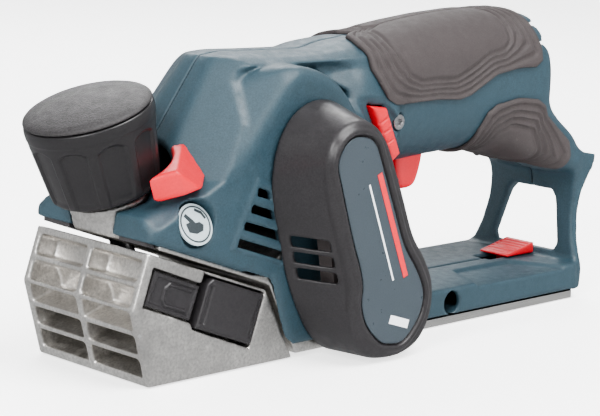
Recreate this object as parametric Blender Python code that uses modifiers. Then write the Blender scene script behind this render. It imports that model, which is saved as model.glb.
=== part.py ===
"""Cordless electric hand planer, bare tool.

World frame: metres, +Z up, front of the tool toward -X, belt side toward -Y.
The origin lies on the underside of the rear sole.  Dimensions below are in
millimetres, measured from the lower front corner of the front shoe.
"""
import math
import bpy
import bmesh
from mathutils import Matrix, Vector

MM = 0.001
ORIGIN_X = 150.0            # distance from the shoe's front corner to the origin

# ---- overall -------------------------------------------------------------
GAP = 0.35                  # clearance between neighbouring pieces
WALL = 2.4                  # housing wall
SHOE_HALF = 30.0            # half width of the front shoe
BODY_HALF = 32.0            # half width of the housing at the cutter
TILT = 19.0                 # forward lean of the depth-setting axis, degrees
TRAVEL = 2.0                # depth setting range of the front shoe

# ---- depth knob ----------------------------------------------------------
KNOB_X, KNOB_Z = 5.0, 63.0  # centre of the knob's lower face
KNOB_H = 29.5
KNOB_R_TOP = 22.7
KNOB_R_BOTTOM = 19.4
BOSS_R = 14.4

# ---- cutter and motor ----------------------------------------------------
DRUM_X, DRUM_Z = 90.0, 22.2
DRUM_R = 20.6
TIP_R = 21.9
DRUM_HALF = 27.0
BLADE_HALF = 28.0
MOTOR_X, MOTOR_Z = 73.5, 70.0
MOTOR_R = 20.5
PULLEY_Y0, PULLEY_Y1 = -46.5, -37.0
DRUM_PULLEY_R = 13.0
MOTOR_PULLEY_R = 6.5
BELT_T = 2.6

# ---- chip outlet, right side ---------------------------------------------
DUCT_X, DUCT_Z, DUCT_R = 109.0, 46.3, 8.0

# ---- rear sole -----------------------------------------------------------
SOLE_X0, SOLE_X1 = 103.0, 235.5
SOLE_T = 3.0

U = Vector((-math.sin(math.radians(TILT)), 0.0, math.cos(math.radians(TILT))))
KNOB_BASE = Vector((KNOB_X, 0.0, KNOB_Z))

for ob in list(bpy.data.objects):
    bpy.data.objects.remove(ob, do_unlink=True)
for block in (bpy.data.meshes, bpy.data.curves, bpy.data.materials):
    for item in list(block):
        block.remove(item)

parts = bpy.data.collections.new("electric_hand_planer")
cutters = bpy.data.collections.new("cutters")
bpy.context.scene.collection.children.link(parts)
bpy.context.scene.collection.children.link(cutters)


# ---- small helpers -------------------------------------------------------
def world(p):
    """Millimetres from the shoe corner -> metres in the world frame."""
    return Vector(((p[0] - ORIGIN_X) * MM, p[1] * MM, p[2] * MM))


def make_material(name, rgb, roughness, metallic=0.0):
    m = bpy.data.materials.new(name)
    m.use_nodes = True
    b = m.node_tree.nodes["Principled BSDF"]
    b.inputs["Base Color"].default_value = (rgb[0], rgb[1], rgb[2], 1.0)
    b.inputs["Roughness"].default_value = roughness
    b.inputs["Metallic"].default_value = metallic
    m.diffuse_color = (rgb[0], rgb[1], rgb[2], 1.0)
    return m


TEAL = (0.055, 0.125, 0.155)
BLACK = (0.030, 0.027, 0.029)
RUBBER = (0.075, 0.062, 0.062)
RED = (0.62, 0.045, 0.045)
ALU = (0.55, 0.53, 0.50)
STEEL = (0.50, 0.50, 0.51)
DARKSTEEL = (0.16, 0.16, 0.17)
COPPER = (0.60, 0.26, 0.12)
BRASS = (0.62, 0.45, 0.16)
GREY = (0.16, 0.19, 0.22)
BOARD = (0.02, 0.16, 0.07)


def place(ob, name, colour=None, roughness=0.5, metallic=0.0, smooth=None):
    """Put an object in the parts collection, or in cutters when colour is None."""
    ob.name = name
    ob.data.name = name
    if colour is None:
        cutters.objects.link(ob)
        ob.hide_render = True
        ob.display_type = 'WIRE'
    else:
        parts.objects.link(ob)
        ob.data.materials.append(make_material("mat_" + name, colour, roughness, metallic))
    if smooth is not None:
        ob.data.polygons.foreach_set("use_smooth", [True] * len(ob.data.polygons))
        ob.data.set_sharp_from_angle(angle=math.radians(smooth))
    return ob


def mesh_object(bm, name):
    me = bpy.data.meshes.new(name)
    bmesh.ops.recalc_face_normals(bm, faces=bm.faces[:])
    bm.to_mesh(me)
    bm.free()
    return bpy.data.objects.new(name, me)


def box(name, x, y, z, colour=None, roughness=0.5, metallic=0.0, bevel=0.0, segments=1):
    bm = bmesh.new()
    bmesh.ops.create_cube(bm, size=1.0)
    size = Vector(((x[1] - x[0]), (y[1] - y[0]), (z[1] - z[0]))) * MM
    bmesh.ops.scale(bm, vec=size, verts=bm.verts)
    ob = mesh_object(bm, name)
    ob.location = world(((x[0] + x[1]) / 2, (y[0] + y[1]) / 2, (z[0] + z[1]) / 2))
    place(ob, name, colour, roughness, metallic)
    if bevel:
        add_bevel(ob, bevel, segments)
    return ob


def add_bevel(ob, width, segments=1, angle=35.0):
    m = ob.modifiers.new("edge", 'BEVEL')
    m.width = width * MM
    m.segments = segments
    m.limit_method = 'ANGLE'
    m.angle_limit = math.radians(angle)
    return m


def axis_matrix(p, direction):
    """Local +Z along direction, origin at p (millimetres)."""
    d = Vector(direction).normalized()
    side = Vector((0, 1, 0)) if abs(d.y) < 0.9 else Vector((1, 0, 0))
    xa = side.cross(d).normalized()
    ya = d.cross(xa)
    m = Matrix.Identity(4)
    for i, v in enumerate((xa, ya, d)):
        for j in range(3):
            m[j][i] = v[j]
    m.translation = world(p)
    return m


def cylinder(name, p0, p1, r, colour=None, roughness=0.4, metallic=0.0, n=32, r2=None, bevel=0.0):
    p0, p1 = Vector(p0), Vector(p1)
    length = (p1 - p0).length
    bm = bmesh.new()
    bmesh.ops.create_cone(bm, cap_ends=True, cap_tris=False, segments=n,
                          radius1=r * MM, radius2=(r if r2 is None else r2) * MM,
                          depth=length * MM)
    ob = mesh_object(bm, name)
    ob.matrix_world = axis_matrix((p0 + p1) / 2, p1 - p0)
    place(ob, name, colour, roughness, metallic, smooth=40)
    if bevel:
        add_bevel(ob, bevel, 2)
    return ob


def turned(name, profile, p, direction, colour=None, roughness=0.4, metallic=0.0, n=40):
    """Screw a closed (radius, height) profile about an axis; outer side runs top to bottom."""
    bm = bmesh.new()
    vs = [bm.verts.new((r * MM, 0.0, h * MM)) for r, h in profile]
    for a, b in zip(vs, vs[1:]):
        bm.edges.new((a, b))
    if profile[0][0] > 1e-6 or profile[-1][0] > 1e-6:
        bm.edges.new((vs[-1], vs[0]))
    me = bpy.data.meshes.new(name)
    bm.to_mesh(me)
    bm.free()
    ob = bpy.data.objects.new(name, me)
    ob.matrix_world = axis_matrix(p, direction)
    m = ob.modifiers.new("turn", 'SCREW')
    m.axis = 'Z'
    m.angle = math.tau
    m.steps = n
    m.render_steps = n
    m.use_merge_vertices = True
    m.merge_threshold = 0.00002
    m.use_smooth_shade = True
    place(ob, name, colour, roughness, metallic)
    return ob


def outline(name, loops, half, matrix, colour=None, roughness=0.5, metallic=0.0, smooth=40):
    """A flat 2D curve (millimetres, first loop outer, others holes) extruded by half each way."""
    cu = bpy.data.curves.new(name + "_outline", 'CURVE')
    cu.dimensions = '2D'
    cu.fill_mode = 'BOTH'
    cu.extrude = half * MM
    for loop in loops:
        sp = cu.splines.new('POLY')
        sp.points.add(len(loop) - 1)
        for pt, (a, b) in zip(sp.points, loop):
            pt.co = (a * MM, b * MM, 0.0, 1.0)
        sp.use_cyclic_u = True
    tmp = bpy.data.objects.new(name + "_outline", cu)
    tmp.matrix_world = matrix
    bpy.context.scene.collection.objects.link(tmp)
    bpy.context.view_layer.update()
    dg = bpy.context.evaluated_depsgraph_get()
    me = bpy.data.meshes.new_from_object(tmp.evaluated_get(dg))
    bm = bmesh.new()
    bm.from_mesh(me)
    bmesh.ops.remove_doubles(bm, verts=bm.verts, dist=0.00001)
    bmesh.ops.recalc_face_normals(bm, faces=bm.faces[:])
    bm.to_mesh(me)
    bm.free()
    ob = bpy.data.objects.new(name, me)
    ob.matrix_world = tmp.matrix_world
    bpy.data.objects.remove(tmp, do_unlink=True)
    bpy.data.curves.remove(cu)
    place(ob, name, colour, roughness, metallic, smooth=smooth)
    return ob


def side_matrix(y):
    """Outline drawn in (x, z) from the shoe corner, standing at this y."""
    m = Matrix.Rotation(math.pi / 2, 4, 'X')
    m.translation = world((0, y, 0))
    return m


def front_matrix(x, z=0.0, lean=0.0):
    """Outline drawn in (y, z) standing at this x; lean turns it about Y."""
    m = Matrix(((0, 0, 1, 0), (1, 0, 0, 0), (0, 1, 0, 0), (0, 0, 0, 1)))
    m = Matrix.Rotation(math.radians(lean), 4, 'Y') @ m
    m.translation = world((x, 0, z))
    return m


def plan_matrix(z):
    m = Matrix.Identity(4)
    m.translation = world((0, 0, z))
    return m


def side(name, pts, y, colour=None, **kw):
    return outline(name, [pts] if isinstance(pts[0][0], (int, float)) else pts,
                   (y[1] - y[0]) / 2, side_matrix((y[0] + y[1]) / 2), colour, **kw)


def boolean(ob, cutter, op='DIFFERENCE'):
    m = ob.modifiers.new(op.lower() + "_" + cutter.name, 'BOOLEAN')
    m.operation = op
    m.object = cutter
    m.solver = 'EXACT'
    return m


def loft(name, rings, colour=None, roughness=0.5, metallic=0.0, smooth=40):
    """Skin between unlike closed sections that share one point count."""
    bm = bmesh.new()
    rows = [[bm.verts.new(world(p)) for p in ring] for ring in rings]
    n = len(rows[0])
    for a, b in zip(rows, rows[1:]):
        for i in range(n):
            bm.faces.new((a[i], a[(i + 1) % n], b[(i + 1) % n], b[i]))
    bm.faces.new(list(reversed(rows[0])))
    bm.faces.new(rows[-1])
    ob = mesh_object(bm, name)
    place(ob, name, colour, roughness, metallic, smooth=smooth)
    return ob


def arc(cx, cz, r, a0, a1, n):
    return [(cx + r * math.cos(math.radians(a0 + (a1 - a0) * i / n)),
             cz + r * math.sin(math.radians(a0 + (a1 - a0) * i / n))) for i in range(n + 1)]


def inset(pts, d):
    """Move a polygon's edges inward by d."""
    area = sum(a[0] * b[1] - b[0] * a[1] for a, b in zip(pts, pts[1:] + pts[:1]))
    s = 1.0 if area > 0 else -1.0
    n = len(pts)
    out = []
    for i in range(n):
        p, q, r = Vector(pts[i - 1]), Vector(pts[i]), Vector(pts[(i + 1) % n])
        e0, e1 = (q - p).normalized(), (r - q).normalized()
        n0, n1 = Vector((-e0.y, e0.x)) * s, Vector((-e1.y, e1.x)) * s
        k = 1.0 + n0.dot(n1)
        v = (n0 + n1) / max(k, 0.35)
        out.append((q.x + v.x * d, q.y + v.y * d))
    return out


def superellipse(x, hw, zt, zb, n=24, power=2.6, x_top=0.0):
    """Closed section ring at station x; x_top shifts its crown forward or back."""
    zc, hh = (zt + zb) / 2, (zt - zb) / 2
    ring = []
    for i in range(n):
        t = math.tau * i / n
        c, s = math.cos(t), math.sin(t)
        y = hw * math.copysign(abs(c) ** (2 / power), c)
        z = hh * math.copysign(abs(s) ** (2 / power), s)
        ring.append((x + x_top * (z / hh), y, zc + z))
    return ring


# ---- housing, two shells -------------------------------------------------
# Side outline of the front body, drawn in (x, z).
BODY_SIDE = [(-1.5, 50.7), (-1.5, 57.5), (10, 60.5), (21, 75.0), (44.9, 107.9), (54, 109.6),
             (69, 108.9), (88, 108.4), (105, 108.8), (117, 110.4), (122, 106), (121, 60),
             (120.5, 40), (119.6, 22), (113, 9), (107, 3.8), (66.5, 3.8), (61.4, 8.0),
             (57.6, 17.5), (54.6, 27.6), (52.0, 31.8)]
# Front outline (half), drawn in (y, z).
BODY_FRONT = [(32.0, 3.0), (32.0, 60.0), (31.0, 72.0), (28.5, 86.0), (25.0, 95.0),
              (20.0, 102.4), (13.0, 107.4), (7.0, 109.8)]
# Handle stations: x, half width, top, bottom.
HANDLE = [(108, 27.0, 109.0, 59.0), (122, 25.6, 110.9, 60.6), (134, 24.2, 112.6, 61.8),
          (148, 23.0, 114.6, 62.6), (164, 22.4, 116.4, 63.4), (182, 22.4, 117.6, 64.2),
          (200, 22.8, 118.2, 63.0), (213, 23.4, 118.0, 60.5), (222.5, 23.8, 116.8, 58.5)]
ARCH_LEAN = 9.0
ARCH_T = 4.4


def mirrored(half):
    return half + [(-y, z) for y, z in reversed(half)]


def housing_solid(tag, d):
    """The body's outer form brought in by d all round."""
    # front body, narrowed toward the top by the front outline
    core = side(tag + "_core", inset(BODY_SIDE, d), (-BODY_HALF + d - 1e-3, BODY_HALF - d + 1e-3))
    front = outline(tag + "_front", [inset(mirrored(BODY_FRONT), d)], 90.0, front_matrix(80.0))
    boolean(core, front, 'INTERSECT')
    # plough-shaped nose: two slanted facets either side of a narrow front facet
    for sgn, nm in ((-1, "l"), (1, "r")):
        a = Vector((21.0, sgn * 11.0, 75.0))
        b = Vector((44.9, sgn * 5.9, 107.9))
        c = Vector((34.5, sgn * 28.5, 75.0))
        n = (b - a).cross(c - a).normalized()
        if n.x > 0:
            n = -n
        cut = box(tag + "_facet_" + nm, (0, 80), (-70, 70), (-60, 60))
        cut.matrix_world = axis_matrix(a - n * d, n) @ Matrix.Translation((0, 0, 40 * MM)) \
            @ Matrix.Rotation(math.pi / 2, 4, 'Y')
        keep = box(tag + "_facet_keep_" + nm, (-60, 140), (-90, 90), (66.0 - d, 190))
        boolean(cut, keep, 'INTERSECT')
        boolean(core, cut)
    # flared shoulder over the front shoe
    shoulder = side(tag + "_shoulder",
                    inset([(-1.5, 50.7), (-1.5, 57.5), (14, 61), (24, 69), (52, 69), (56, 40),
                           (52.0, 31.8)], d), (-31.0 + d, 31.0 - d))
    sfront = outline(tag + "_shoulder_front",
                     [inset([(-31, 28), (31, 28), (31, 48), (25.5, 62), (20, 70), (-20, 70),
                             (-25.5, 62), (-31, 48)], d)], 60.0, front_matrix(20.0))
    boolean(shoulder, sfront, 'INTERSECT')
    boolean(core, shoulder, 'UNION')
    # handle
    rings = [superellipse(x, hw - d, zt - d, zb + d) for x, hw, zt, zb in HANDLE]
    if d > 0:
        rings[-1] = [(p[0] - d, p[1], p[2]) for p in rings[-1]]
    grip = loft(tag + "_grip", rings)
    boolean(core, grip, 'UNION')
    # flare from the handle's end down to the arch
    e = 0.0 if d == 0 else d
    flare = loft(tag + "_flare", [
        superellipse(200 + e, 22.2 - e, 86 - e, 62.0 + e, power=4),
        superellipse(213, 23.2 - e, 84.5 - e, 58.5 + e, power=4),
        superellipse(224, 24.6 - e, 78.5 - e, 54.5 + e, power=4),
        superellipse(234, 25.8 - e, 72 - e, 50.8 + e, power=4),
        superellipse(241, 26.2 - e, 67.6 - e, 48.0 + e, power=4),
        superellipse(245.0 - e, 26.0 - e, 63.6 - e, 46.5 + e, power=4)])
    boolean(core, flare, 'UNION')
    return core


def arch_outline(d):
    outer = [(-29.8, 4 + d), (-29.4, 12), (-27.2, 17.5), (-24.8, 24), (-23.0, 34), (-22.8, 44),
             (-23.6, 52), (-25.0, 60)]
    outer = outer + [(-y, z) for y, z in reversed(outer)]
    return outer


outer = housing_solid("outer", 0.0)
arch = outline("outer_arch",
               [[(y, z) for y, z in arch_outline(0)],
                [(-15.4, 17.5), (15.4, 17.5), (16.8, 20.5), (12.4, 39.5), (10.2, 42.5),
                 (-10.2, 42.5), (-12.4, 39.5), (-16.8, 20.5)]],
               ARCH_T / 2, front_matrix(240.0, 0.0, ARCH_LEAN))
arch.location = world((235.4, 0, 0))
boolean(outer, arch, 'UNION')
BASE_PLAN = [(100, -30.6), (233, -30.6), (237.5, -27), (237.5, 27), (233, 30.6), (100, 30.6)]
base = outline("outer_base", [BASE_PLAN], 5.35, plan_matrix(8.95))
boolean(outer, base, 'UNION')

bulge = cylinder("outer_bulge", (DRUM_X, 26, DRUM_Z), (DRUM_X, 37.8, DRUM_Z), 15.5, n=32, r2=13.6)
boolean(outer, bulge, 'UNION')

inner = housing_solid("inner", WALL)
base_in = outline("inner_base", [[(110, -28.2), (230, -28.2), (230, 28.2), (110, 28.2)]],
                  3.0, plan_matrix(8.9))
boolean(inner, base_in, 'UNION')

# openings shared by both shells
battery = outline("cut_battery", [[(-19.6, 69.4), (-16, 66.0), (16, 66.0), (19.6, 69.4), (19.6, 106),
                                   (14, 113.4), (-14, 113.4), (-19.6, 106)]],
                  22.0, front_matrix(232.0))
knob_room = cylinder("cut_knob_room", KNOB_BASE - U * 1.6, KNOB_BASE + U * 60, 23.6, n=40)
boss_room = cylinder("cut_boss_room", KNOB_BASE - U * 26, KNOB_BASE - U * 1.0, BOSS_R + 0.6, n=40)
lip_gap = box("cut_lip_gap", (-12, 8), (-10.5, 10.5), (40, 66))
drum_room = cylinder("cut_drum_room", (DRUM_X, -30.4, DRUM_Z), (DRUM_X, 30.4, DRUM_Z), 27.6, n=40)
drum_mouth = box("cut_drum_mouth", (52, 106.5), (-30.4, 30.4), (-10, 24))
floor_gap = side("cut_floor_gap", [(42, 28), (42, 38), (60, 46), (70, 53), (106, 53), (117.8, 38),
                                   (117.8, 3), (52, -6)], (-30.4, 30.4))
shaft_hole = cylinder("cut_shaft_hole", (DRUM_X, -40, DRUM_Z), (DRUM_X, -20, DRUM_Z), 11.4, n=24)
shaft_hole_r = cylinder("cut_shaft_hole_r", (DRUM_X, 20, DRUM_Z), (DRUM_X, 36, DRUM_Z), 11.4, n=24)
motor_hole = cylinder("cut_motor_hole", (MOTOR_X, -40, MOTOR_Z), (MOTOR_X, -20, MOTOR_Z), 9.0, n=24)
trigger_slot = box("cut_trigger_slot", (131.5, 160.5), (-9.2, 9.2), (50, 84))
lock_slot = side("cut_lock_slot", [(104.6, 89.4), (114.6, 88.2), (123.6, 69.2), (117.0, 65.4)],
                 (-40, -16))
lock_recess = side("cut_lock_recess", [(98, 101), (108, 102), (122, 96), (134, 80), (131, 54),
                                       (114, 54), (104, 80)], (-36, -26.2))
duct_hole = cylinder("cut_duct_hole", (DUCT_X, 10, DUCT_Z), (DUCT_X, 50, DUCT_Z), DUCT_R + 0.4, n=28)
park_hole = box("cut_park_hole", (198, 227.4), (-9.8, 9.8), (-2, 12.2))
park_slot = box("cut_park_slot", (210, 232), (-3.2, 5.2), (9, 17))
guide_hole = side("cut_guide_hole", arc(155, 8.5, 4.5, 0, 360, 19)[:-1], (-36, -17.9))
side_pocket = loft("cut_side_pocket", [
    [(168, -34, 12.2), (228, -34, 12.2), (228, -34, 20), (168, -34, 20)],
    [(184, -9, 13.6), (214, -9, 13.6), (214, -9, 20), (184, -9, 20)]])
vents = []
for i in range(4):
    zc = 61.0 - i * 7.0
    w0, w1 = 51.0 - i * 4.2, 60.5 + i * 0.3
    vents.append(side("cut_vent_%d" % (i + 1),
                      [(w0 - 1.0, zc - 2.1), (w1, zc - 2.9), (w1 + 0.3, zc + 0.5), (w0 + 1.2, zc + 1.9)],
                      (-36, 36)))
disc_seat = cylinder("cut_disc_seat", (18.0, -34.0, 55.8), (18.0, -27.6, 53.6), 7.9, n=28)
SCREWS = (("housing_screw_1", (123.4, -25.4, 81.2)),)
screw_seats = [cylinder("cut_" + nm, (x, y - 10, z), (x, y + 1.4, z), 3.5, n=20)
               for nm, (x, y, z) in SCREWS]

for nm, sgn in (("housing_left", -1), ("housing_right", 1)):
    y0, y1 = (-60.0, -GAP / 2) if sgn < 0 else (GAP / 2, 60.0)
    half = box(nm, (-60, 300), (y0, y1), (-20, 200), TEAL, 0.55)
    boolean(half, outer, 'INTERSECT')
    boolean(half, inner)
    for cut in (battery, knob_room, boss_room, lip_gap, drum_room, drum_mouth, floor_gap,
                trigger_slot, park_hole, park_slot):
        boolean(half, cut)
    if sgn < 0:
        for cut in (shaft_hole, motor_hole, lock_recess, lock_slot, guide_hole, side_pocket,
                    disc_seat, screw_seats[0]):
            boolean(half, cut)
    else:
        boolean(half, duct_hole)
        boolean(half, shaft_hole_r)
    for cut in vents:
        boolean(half, cut)


# ---- skins fixed on the housing ------------------------------------------
grown = housing_solid("grown", -GAP)
pad_form = loft("cut_pad_form", [superellipse(x, hw + 1.5, zt + 1.5, zb - 1.5)
                                 for x, hw, zt, zb in HANDLE])
PAD_UPPER = [(110.5, 114), (111.5, 106), (117, 99.0), (122.5, 93.0), (130, 90.0), (158, 88.5),
             (180, 87.0), (190, 88.0), (200, 94.5), (213, 96.5), (217.5, 99), (218.5, 106),
             (214, 121), (200, 130), (110, 130)]
PAD_LOWER = [(158, 56), (161.5, 65.5), (167, 73), (173.5, 81.5), (178, 85), (201, 85.5),
             (204.5, 83.5), (205.5, 79.5), (212, 72), (212, 64), (206, 56)]
for nm, pts in (("grip_upper", PAD_UPPER), ("grip_lower", PAD_LOWER)):
    for tag, y in (("left", (-60, -0.4)), ("right", (0.4, 60))):
        pad = side("%s_%s" % (nm, tag), pts, y, RUBBER, roughness=0.8)
        boolean(pad, pad_form, 'INTERSECT')
        boolean(pad, grown)


# ---- aluminium gear and cutter casting -----------------------------------
def shoe_top(x):
    return 46.5 - (x + 1.7) * 0.355


BAND = 2.2
casting = side("gear_casting", [
    (3.0, shoe_top(3.0) + BAND), (53.6, shoe_top(53.6) + BAND), (55.4, 28.0), (69.6, 1.2),
    (102.2, 1.2), (102.2, 3.5), (111.4, 3.5), (117.2, 22), (114.4, 34), (106, 45), (94, 49.4),
    (79, 49.0), (65.4, 44.0), (58, 37.0), (52.0, shoe_top(46) + BAND + 1.0),
    (46.0, shoe_top(46) + BAND + 1.75), (3.0, shoe_top(3) + BAND + 1.75)],
    (-30.0, 30.0), ALU, roughness=0.45, metallic=0.85)
boss = cylinder("casting_boss", KNOB_BASE - U * 26, KNOB_BASE - U * 1.5, BOSS_R, n=36)
boss_keep = side("casting_boss_keep",
                 [(-30, shoe_top(-30) + BAND + 0.3), (60, shoe_top(60) + BAND + 0.3), (60, 90),
                  (-30, 90)],
                 (-40, 40))
boolean(boss, boss_keep, 'INTERSECT')
boolean(casting, boss, 'UNION')
for y0, y1, tag in ((-35.0, -28.35, "l"), (28.35, 35.0, "r")):
    hub = cylinder("casting_hub_" + tag, (DRUM_X, y0, DRUM_Z), (DRUM_X, y1, DRUM_Z), 11.0, n=28)
    boolean(casting, hub, 'UNION')
chamber = cylinder("cut_chamber", (DRUM_X, -28.3, DRUM_Z), (DRUM_X, 28.3, DRUM_Z), 23.4, n=40)
mouth = side("cut_mouth", [(72.6, -5), (69.8, 14), (107, 14), (102.6, -5)], (-28.3, 28.3))
bore = cylinder("cut_bore", (DRUM_X, -40, DRUM_Z), (DRUM_X, 40, DRUM_Z), 8.35, n=28)
spindle_hole = cylinder("cut_spindle_hole", KNOB_BASE - U * 40, KNOB_BASE + U * 5, 4.7, n=24)
duct_room = cylinder("cut_duct_room", (DUCT_X, 12, DUCT_Z), (DUCT_X, 33, DUCT_Z), DUCT_R + 0.45, n=28)
duct_pass = box("cut_duct_pass", (98, 113), (8, 28), (38, 52))
for cut in (chamber, mouth, bore, spindle_hole, duct_room, duct_pass):
    boolean(casting, cut)

for sgn, nm in ((-1, "left"), (1, "right")):
    y = sorted((sgn * 13.3, sgn * 27.5))
    side("shoe_guide_" + nm, [(-0.8, shoe_top(-0.8) + BAND), (2.6, shoe_top(2.6) + BAND),
                              (2.6, shoe_top(2.6) + BAND + 1.75), (-0.8, shoe_top(-0.8) + BAND + 1.75)],
         y, BLACK, roughness=0.6)

# ---- rear sole -----------------------------------------------------------
sole = outline("rear_sole", [
    [(SOLE_X0, -29.6), (SOLE_X1 - 3, -29.6), (SOLE_X1, -26.6), (SOLE_X1, 26.6),
     (SOLE_X1 - 3, 29.6), (SOLE_X0, 29.6)],
    [(198.5, -9.4), (227.0, -9.4), (227.0, 9.4), (198.5, 9.4)]],
    SOLE_T / 2, plan_matrix(SOLE_T / 2), ALU, roughness=0.3, metallic=0.9)

# ---- front shoe ----------------------------------------------------------
SHOE_SIDE = [(0, 0), (-7.9, 27.5), (-1.7, 46.5), (53.5, shoe_top(53.5)), (68.0, 0)]
shoe = side("front_shoe", SHOE_SIDE, (-SHOE_HALF, SHOE_HALF), ALU, roughness=0.4, metallic=0.9)


def face_pocket(name, top, bottom, s0, s1, depth, y):
    """Prism cut from a slanted front face, between distances s0 and s1 down from its top."""
    t = (Vector(bottom) - Vector(top)).normalized()
    n = Vector((-t.y, t.x))
    if n.x < 0:
        n = -n
    a, b = Vector(top) + t * s0, Vector(top) + t * s1
    pts = [a - n * 4, b - n * 4, b + n * depth, a + n * depth]
    return side(name, [(p.x, p.y) for p in pts], y)


TOP_F, NOSE, LOW_F = (-1.7, 46.5), (-7.9, 27.5), (0.0, 0.0)
for sgn, tag in ((-1, "l"), (1, "r")):
    y = sorted((sgn * 1.4, sgn * 26.8))
    for i, (s0, s1, depth) in enumerate(((2.6, 10.2, 8.0), (12.0, 19.0, 10.0))):
        boolean(shoe, face_pocket("cut_front_%s_u%d" % (tag, i), TOP_F, NOSE, s0, s1, depth, y))
    for i, (s0, s1, depth) in enumerate(((1.0, 8.0, 14.0), (9.8, 16.8, 16.0), (18.6, 25.4, 18.0))):
        boolean(shoe, face_pocket("cut_front_%s_d%d" % (tag, i), NOSE, LOW_F, s0, s1, depth, y))
tray = side("cut_tray", [(0.8, 41.4), (23.5, 32.6), (19.0, 19.6), (-3.5, 28.2)], (-34, -27.7))
key_room = side("cut_key_room", [(24.0, 36.6), (27.1, 35.0), (52.9, 25.9), (46.2, 6.9),
                                 (19.0, 17.6), (18.0, 21)], (-34, -18.0))
nut_room = cylinder("cut_nut_room", KNOB_BASE - U * 35.6, KNOB_BASE - U * 10, 6.9, n=24)
boolean(shoe, tray)
boolean(shoe, key_room)
boolean(shoe, nut_room)
boolean(shoe, spindle_hole)

tray_insert = side("tray_insert", [(2.0, 40.2), (22.6, 32.2), (18.2, 20.4), (-2.2, 28.6)],
                   (-29.0, -28.0), BLACK, roughness=0.5)
tray_relief = side("cut_tray_relief", [(4.0, 37.4), (20.5, 31.0), (17.5, 22.6), (0.6, 29.2)],
                   (-30.0, -28.4))
boolean(tray_insert, tray_relief)
key_holder = side("key_holder", [(27.4, 34.4), (52.0, 25.6), (45.9, 8.1), (19.8, 17.9), (25.0, 33.0)],
                  (-31.0, -18.5), BLACK, roughness=0.35)
add_bevel(key_holder, 0.8, 1)
turned("spindle_nut", [(6.5, 7), (6.5, 0), (4.4, 0), (4.4, 7)], KNOB_BASE - U * 35.2, U,
       BRASS, roughness=0.3, metallic=0.9, n=24)

# ---- depth knob ----------------------------------------------------------
knob = turned("depth_knob", [(0, KNOB_H), (22.2, KNOB_H), (KNOB_R_TOP, KNOB_H - 0.7),
                             (22.4, KNOB_H - 5), (KNOB_R_BOTTOM + 0.7, 4), (KNOB_R_BOTTOM, 1.4),
                             (17.2, 0.0), (4.4, 0.0), (4.4, 21.0), (0, 21.0)],
              KNOB_BASE, U, BLACK, roughness=0.45, n=48)
FLUTES = 10
bm = bmesh.new()
for i in range(FLUTES):
    a = math.tau * (i + 0.35) / FLUTES
    tmp = bmesh.ops.create_cone(bm, cap_ends=True, segments=16, radius1=9.0 * MM,
                                radius2=5.0 * MM, depth=26 * MM)
    m = Matrix.Rotation(a, 4, 'Z') @ Matrix.Translation((28.6 * MM, 0, 11 * MM)) \
        @ Matrix.Rotation(math.radians(1.5), 4, 'Y')
    bmesh.ops.transform(bm, matrix=m, verts=tmp["verts"])
flutes = mesh_object(bm, "cut_flutes")
flutes.matrix_world = axis_matrix(KNOB_BASE, U)
place(flutes, "cut_flutes")
boolean(knob, flutes)
turned("knob_cap", [(0, 35.4), (6, 35.2), (12, 34.3), (17, 32.9), (20.6, 31.3), (22.5, 30.2),
                    (22.5, KNOB_H + GAP), (0, KNOB_H + GAP)], KNOB_BASE, U, BLACK,
       roughness=0.6, n=48)
turned("depth_spindle", [(0, 20.6), (4.0, 20.6), (4.0, -38.0), (0, -38.0)], KNOB_BASE, U,
       STEEL, roughness=0.3, metallic=1.0, n=24)
turned("click_ring", [(13.2, -0.4), (13.2, -1.1), (5.2, -1.1), (5.2, -0.4)], KNOB_BASE, U,
       STEEL, roughness=0.35, metallic=1.0, n=32)

# red pointer that wraps the knob on the belt side
POINTER = [(24.2 * math.cos(math.radians(a)), -24.2 * math.sin(math.radians(a)))
           for a in range(14, 92, 7)]
POINTER = POINTER + [(1.0, -26.2), (8.0, -31.0), (17.0, -33.6), (25.0, -32.2), (29.4, -27.0),
                     (30.5, -19.0), (29.6, -6.0)]
pm = axis_matrix(KNOB_BASE + U * 3.6, U)
pm = Matrix.Translation(pm.translation) @ Matrix(((math.cos(math.radians(TILT)), 0, U.x, 0),
                                                  (0, 1, 0, 0),
                                                  (math.sin(math.radians(TILT)), 0, U.z, 0),
                                                  (0, 0, 0, 1)))
pointer = outline("depth_pointer", [POINTER], 4.8, pm, RED, roughness=0.45)
add_bevel(pointer, 0.8, 1)
boolean(pointer, grown)

# ---- cutter ---------------------------------------------------------------
DRUM_AXIS = Vector((DRUM_X, 0.0, DRUM_Z))
Y = Vector((0, 1, 0))
drum = cylinder("cutter_drum", DRUM_AXIS - Y * DRUM_HALF, DRUM_AXIS + Y * DRUM_HALF, DRUM_R,
                ALU, roughness=0.35, metallic=0.9, n=48)
blade_slot = side("cut_blade_slot", [(DRUM_X - 7.6, DRUM_Z + 8.4), (DRUM_X + 0.9, DRUM_Z + 8.4),
                                     (DRUM_X + 0.9, DRUM_Z + 26), (DRUM_X - 12.0, DRUM_Z + 26)],
                  (-28, 28))
drum_bore = cylinder("cut_drum_bore", DRUM_AXIS - Y * 40, DRUM_AXIS + Y * 40, 4.35, n=24)
boolean(drum, blade_slot)
boolean(drum, drum_bore)
side("cutter_blade", [(DRUM_X - 0.7, DRUM_Z + 8.8), (DRUM_X + 0.5, DRUM_Z + 8.8),
                      (DRUM_X + 0.5, DRUM_Z + TIP_R - 0.1), (DRUM_X - 0.1, DRUM_Z + TIP_R)],
     (-BLADE_HALF, BLADE_HALF), STEEL, roughness=0.2, metallic=1.0)
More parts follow.
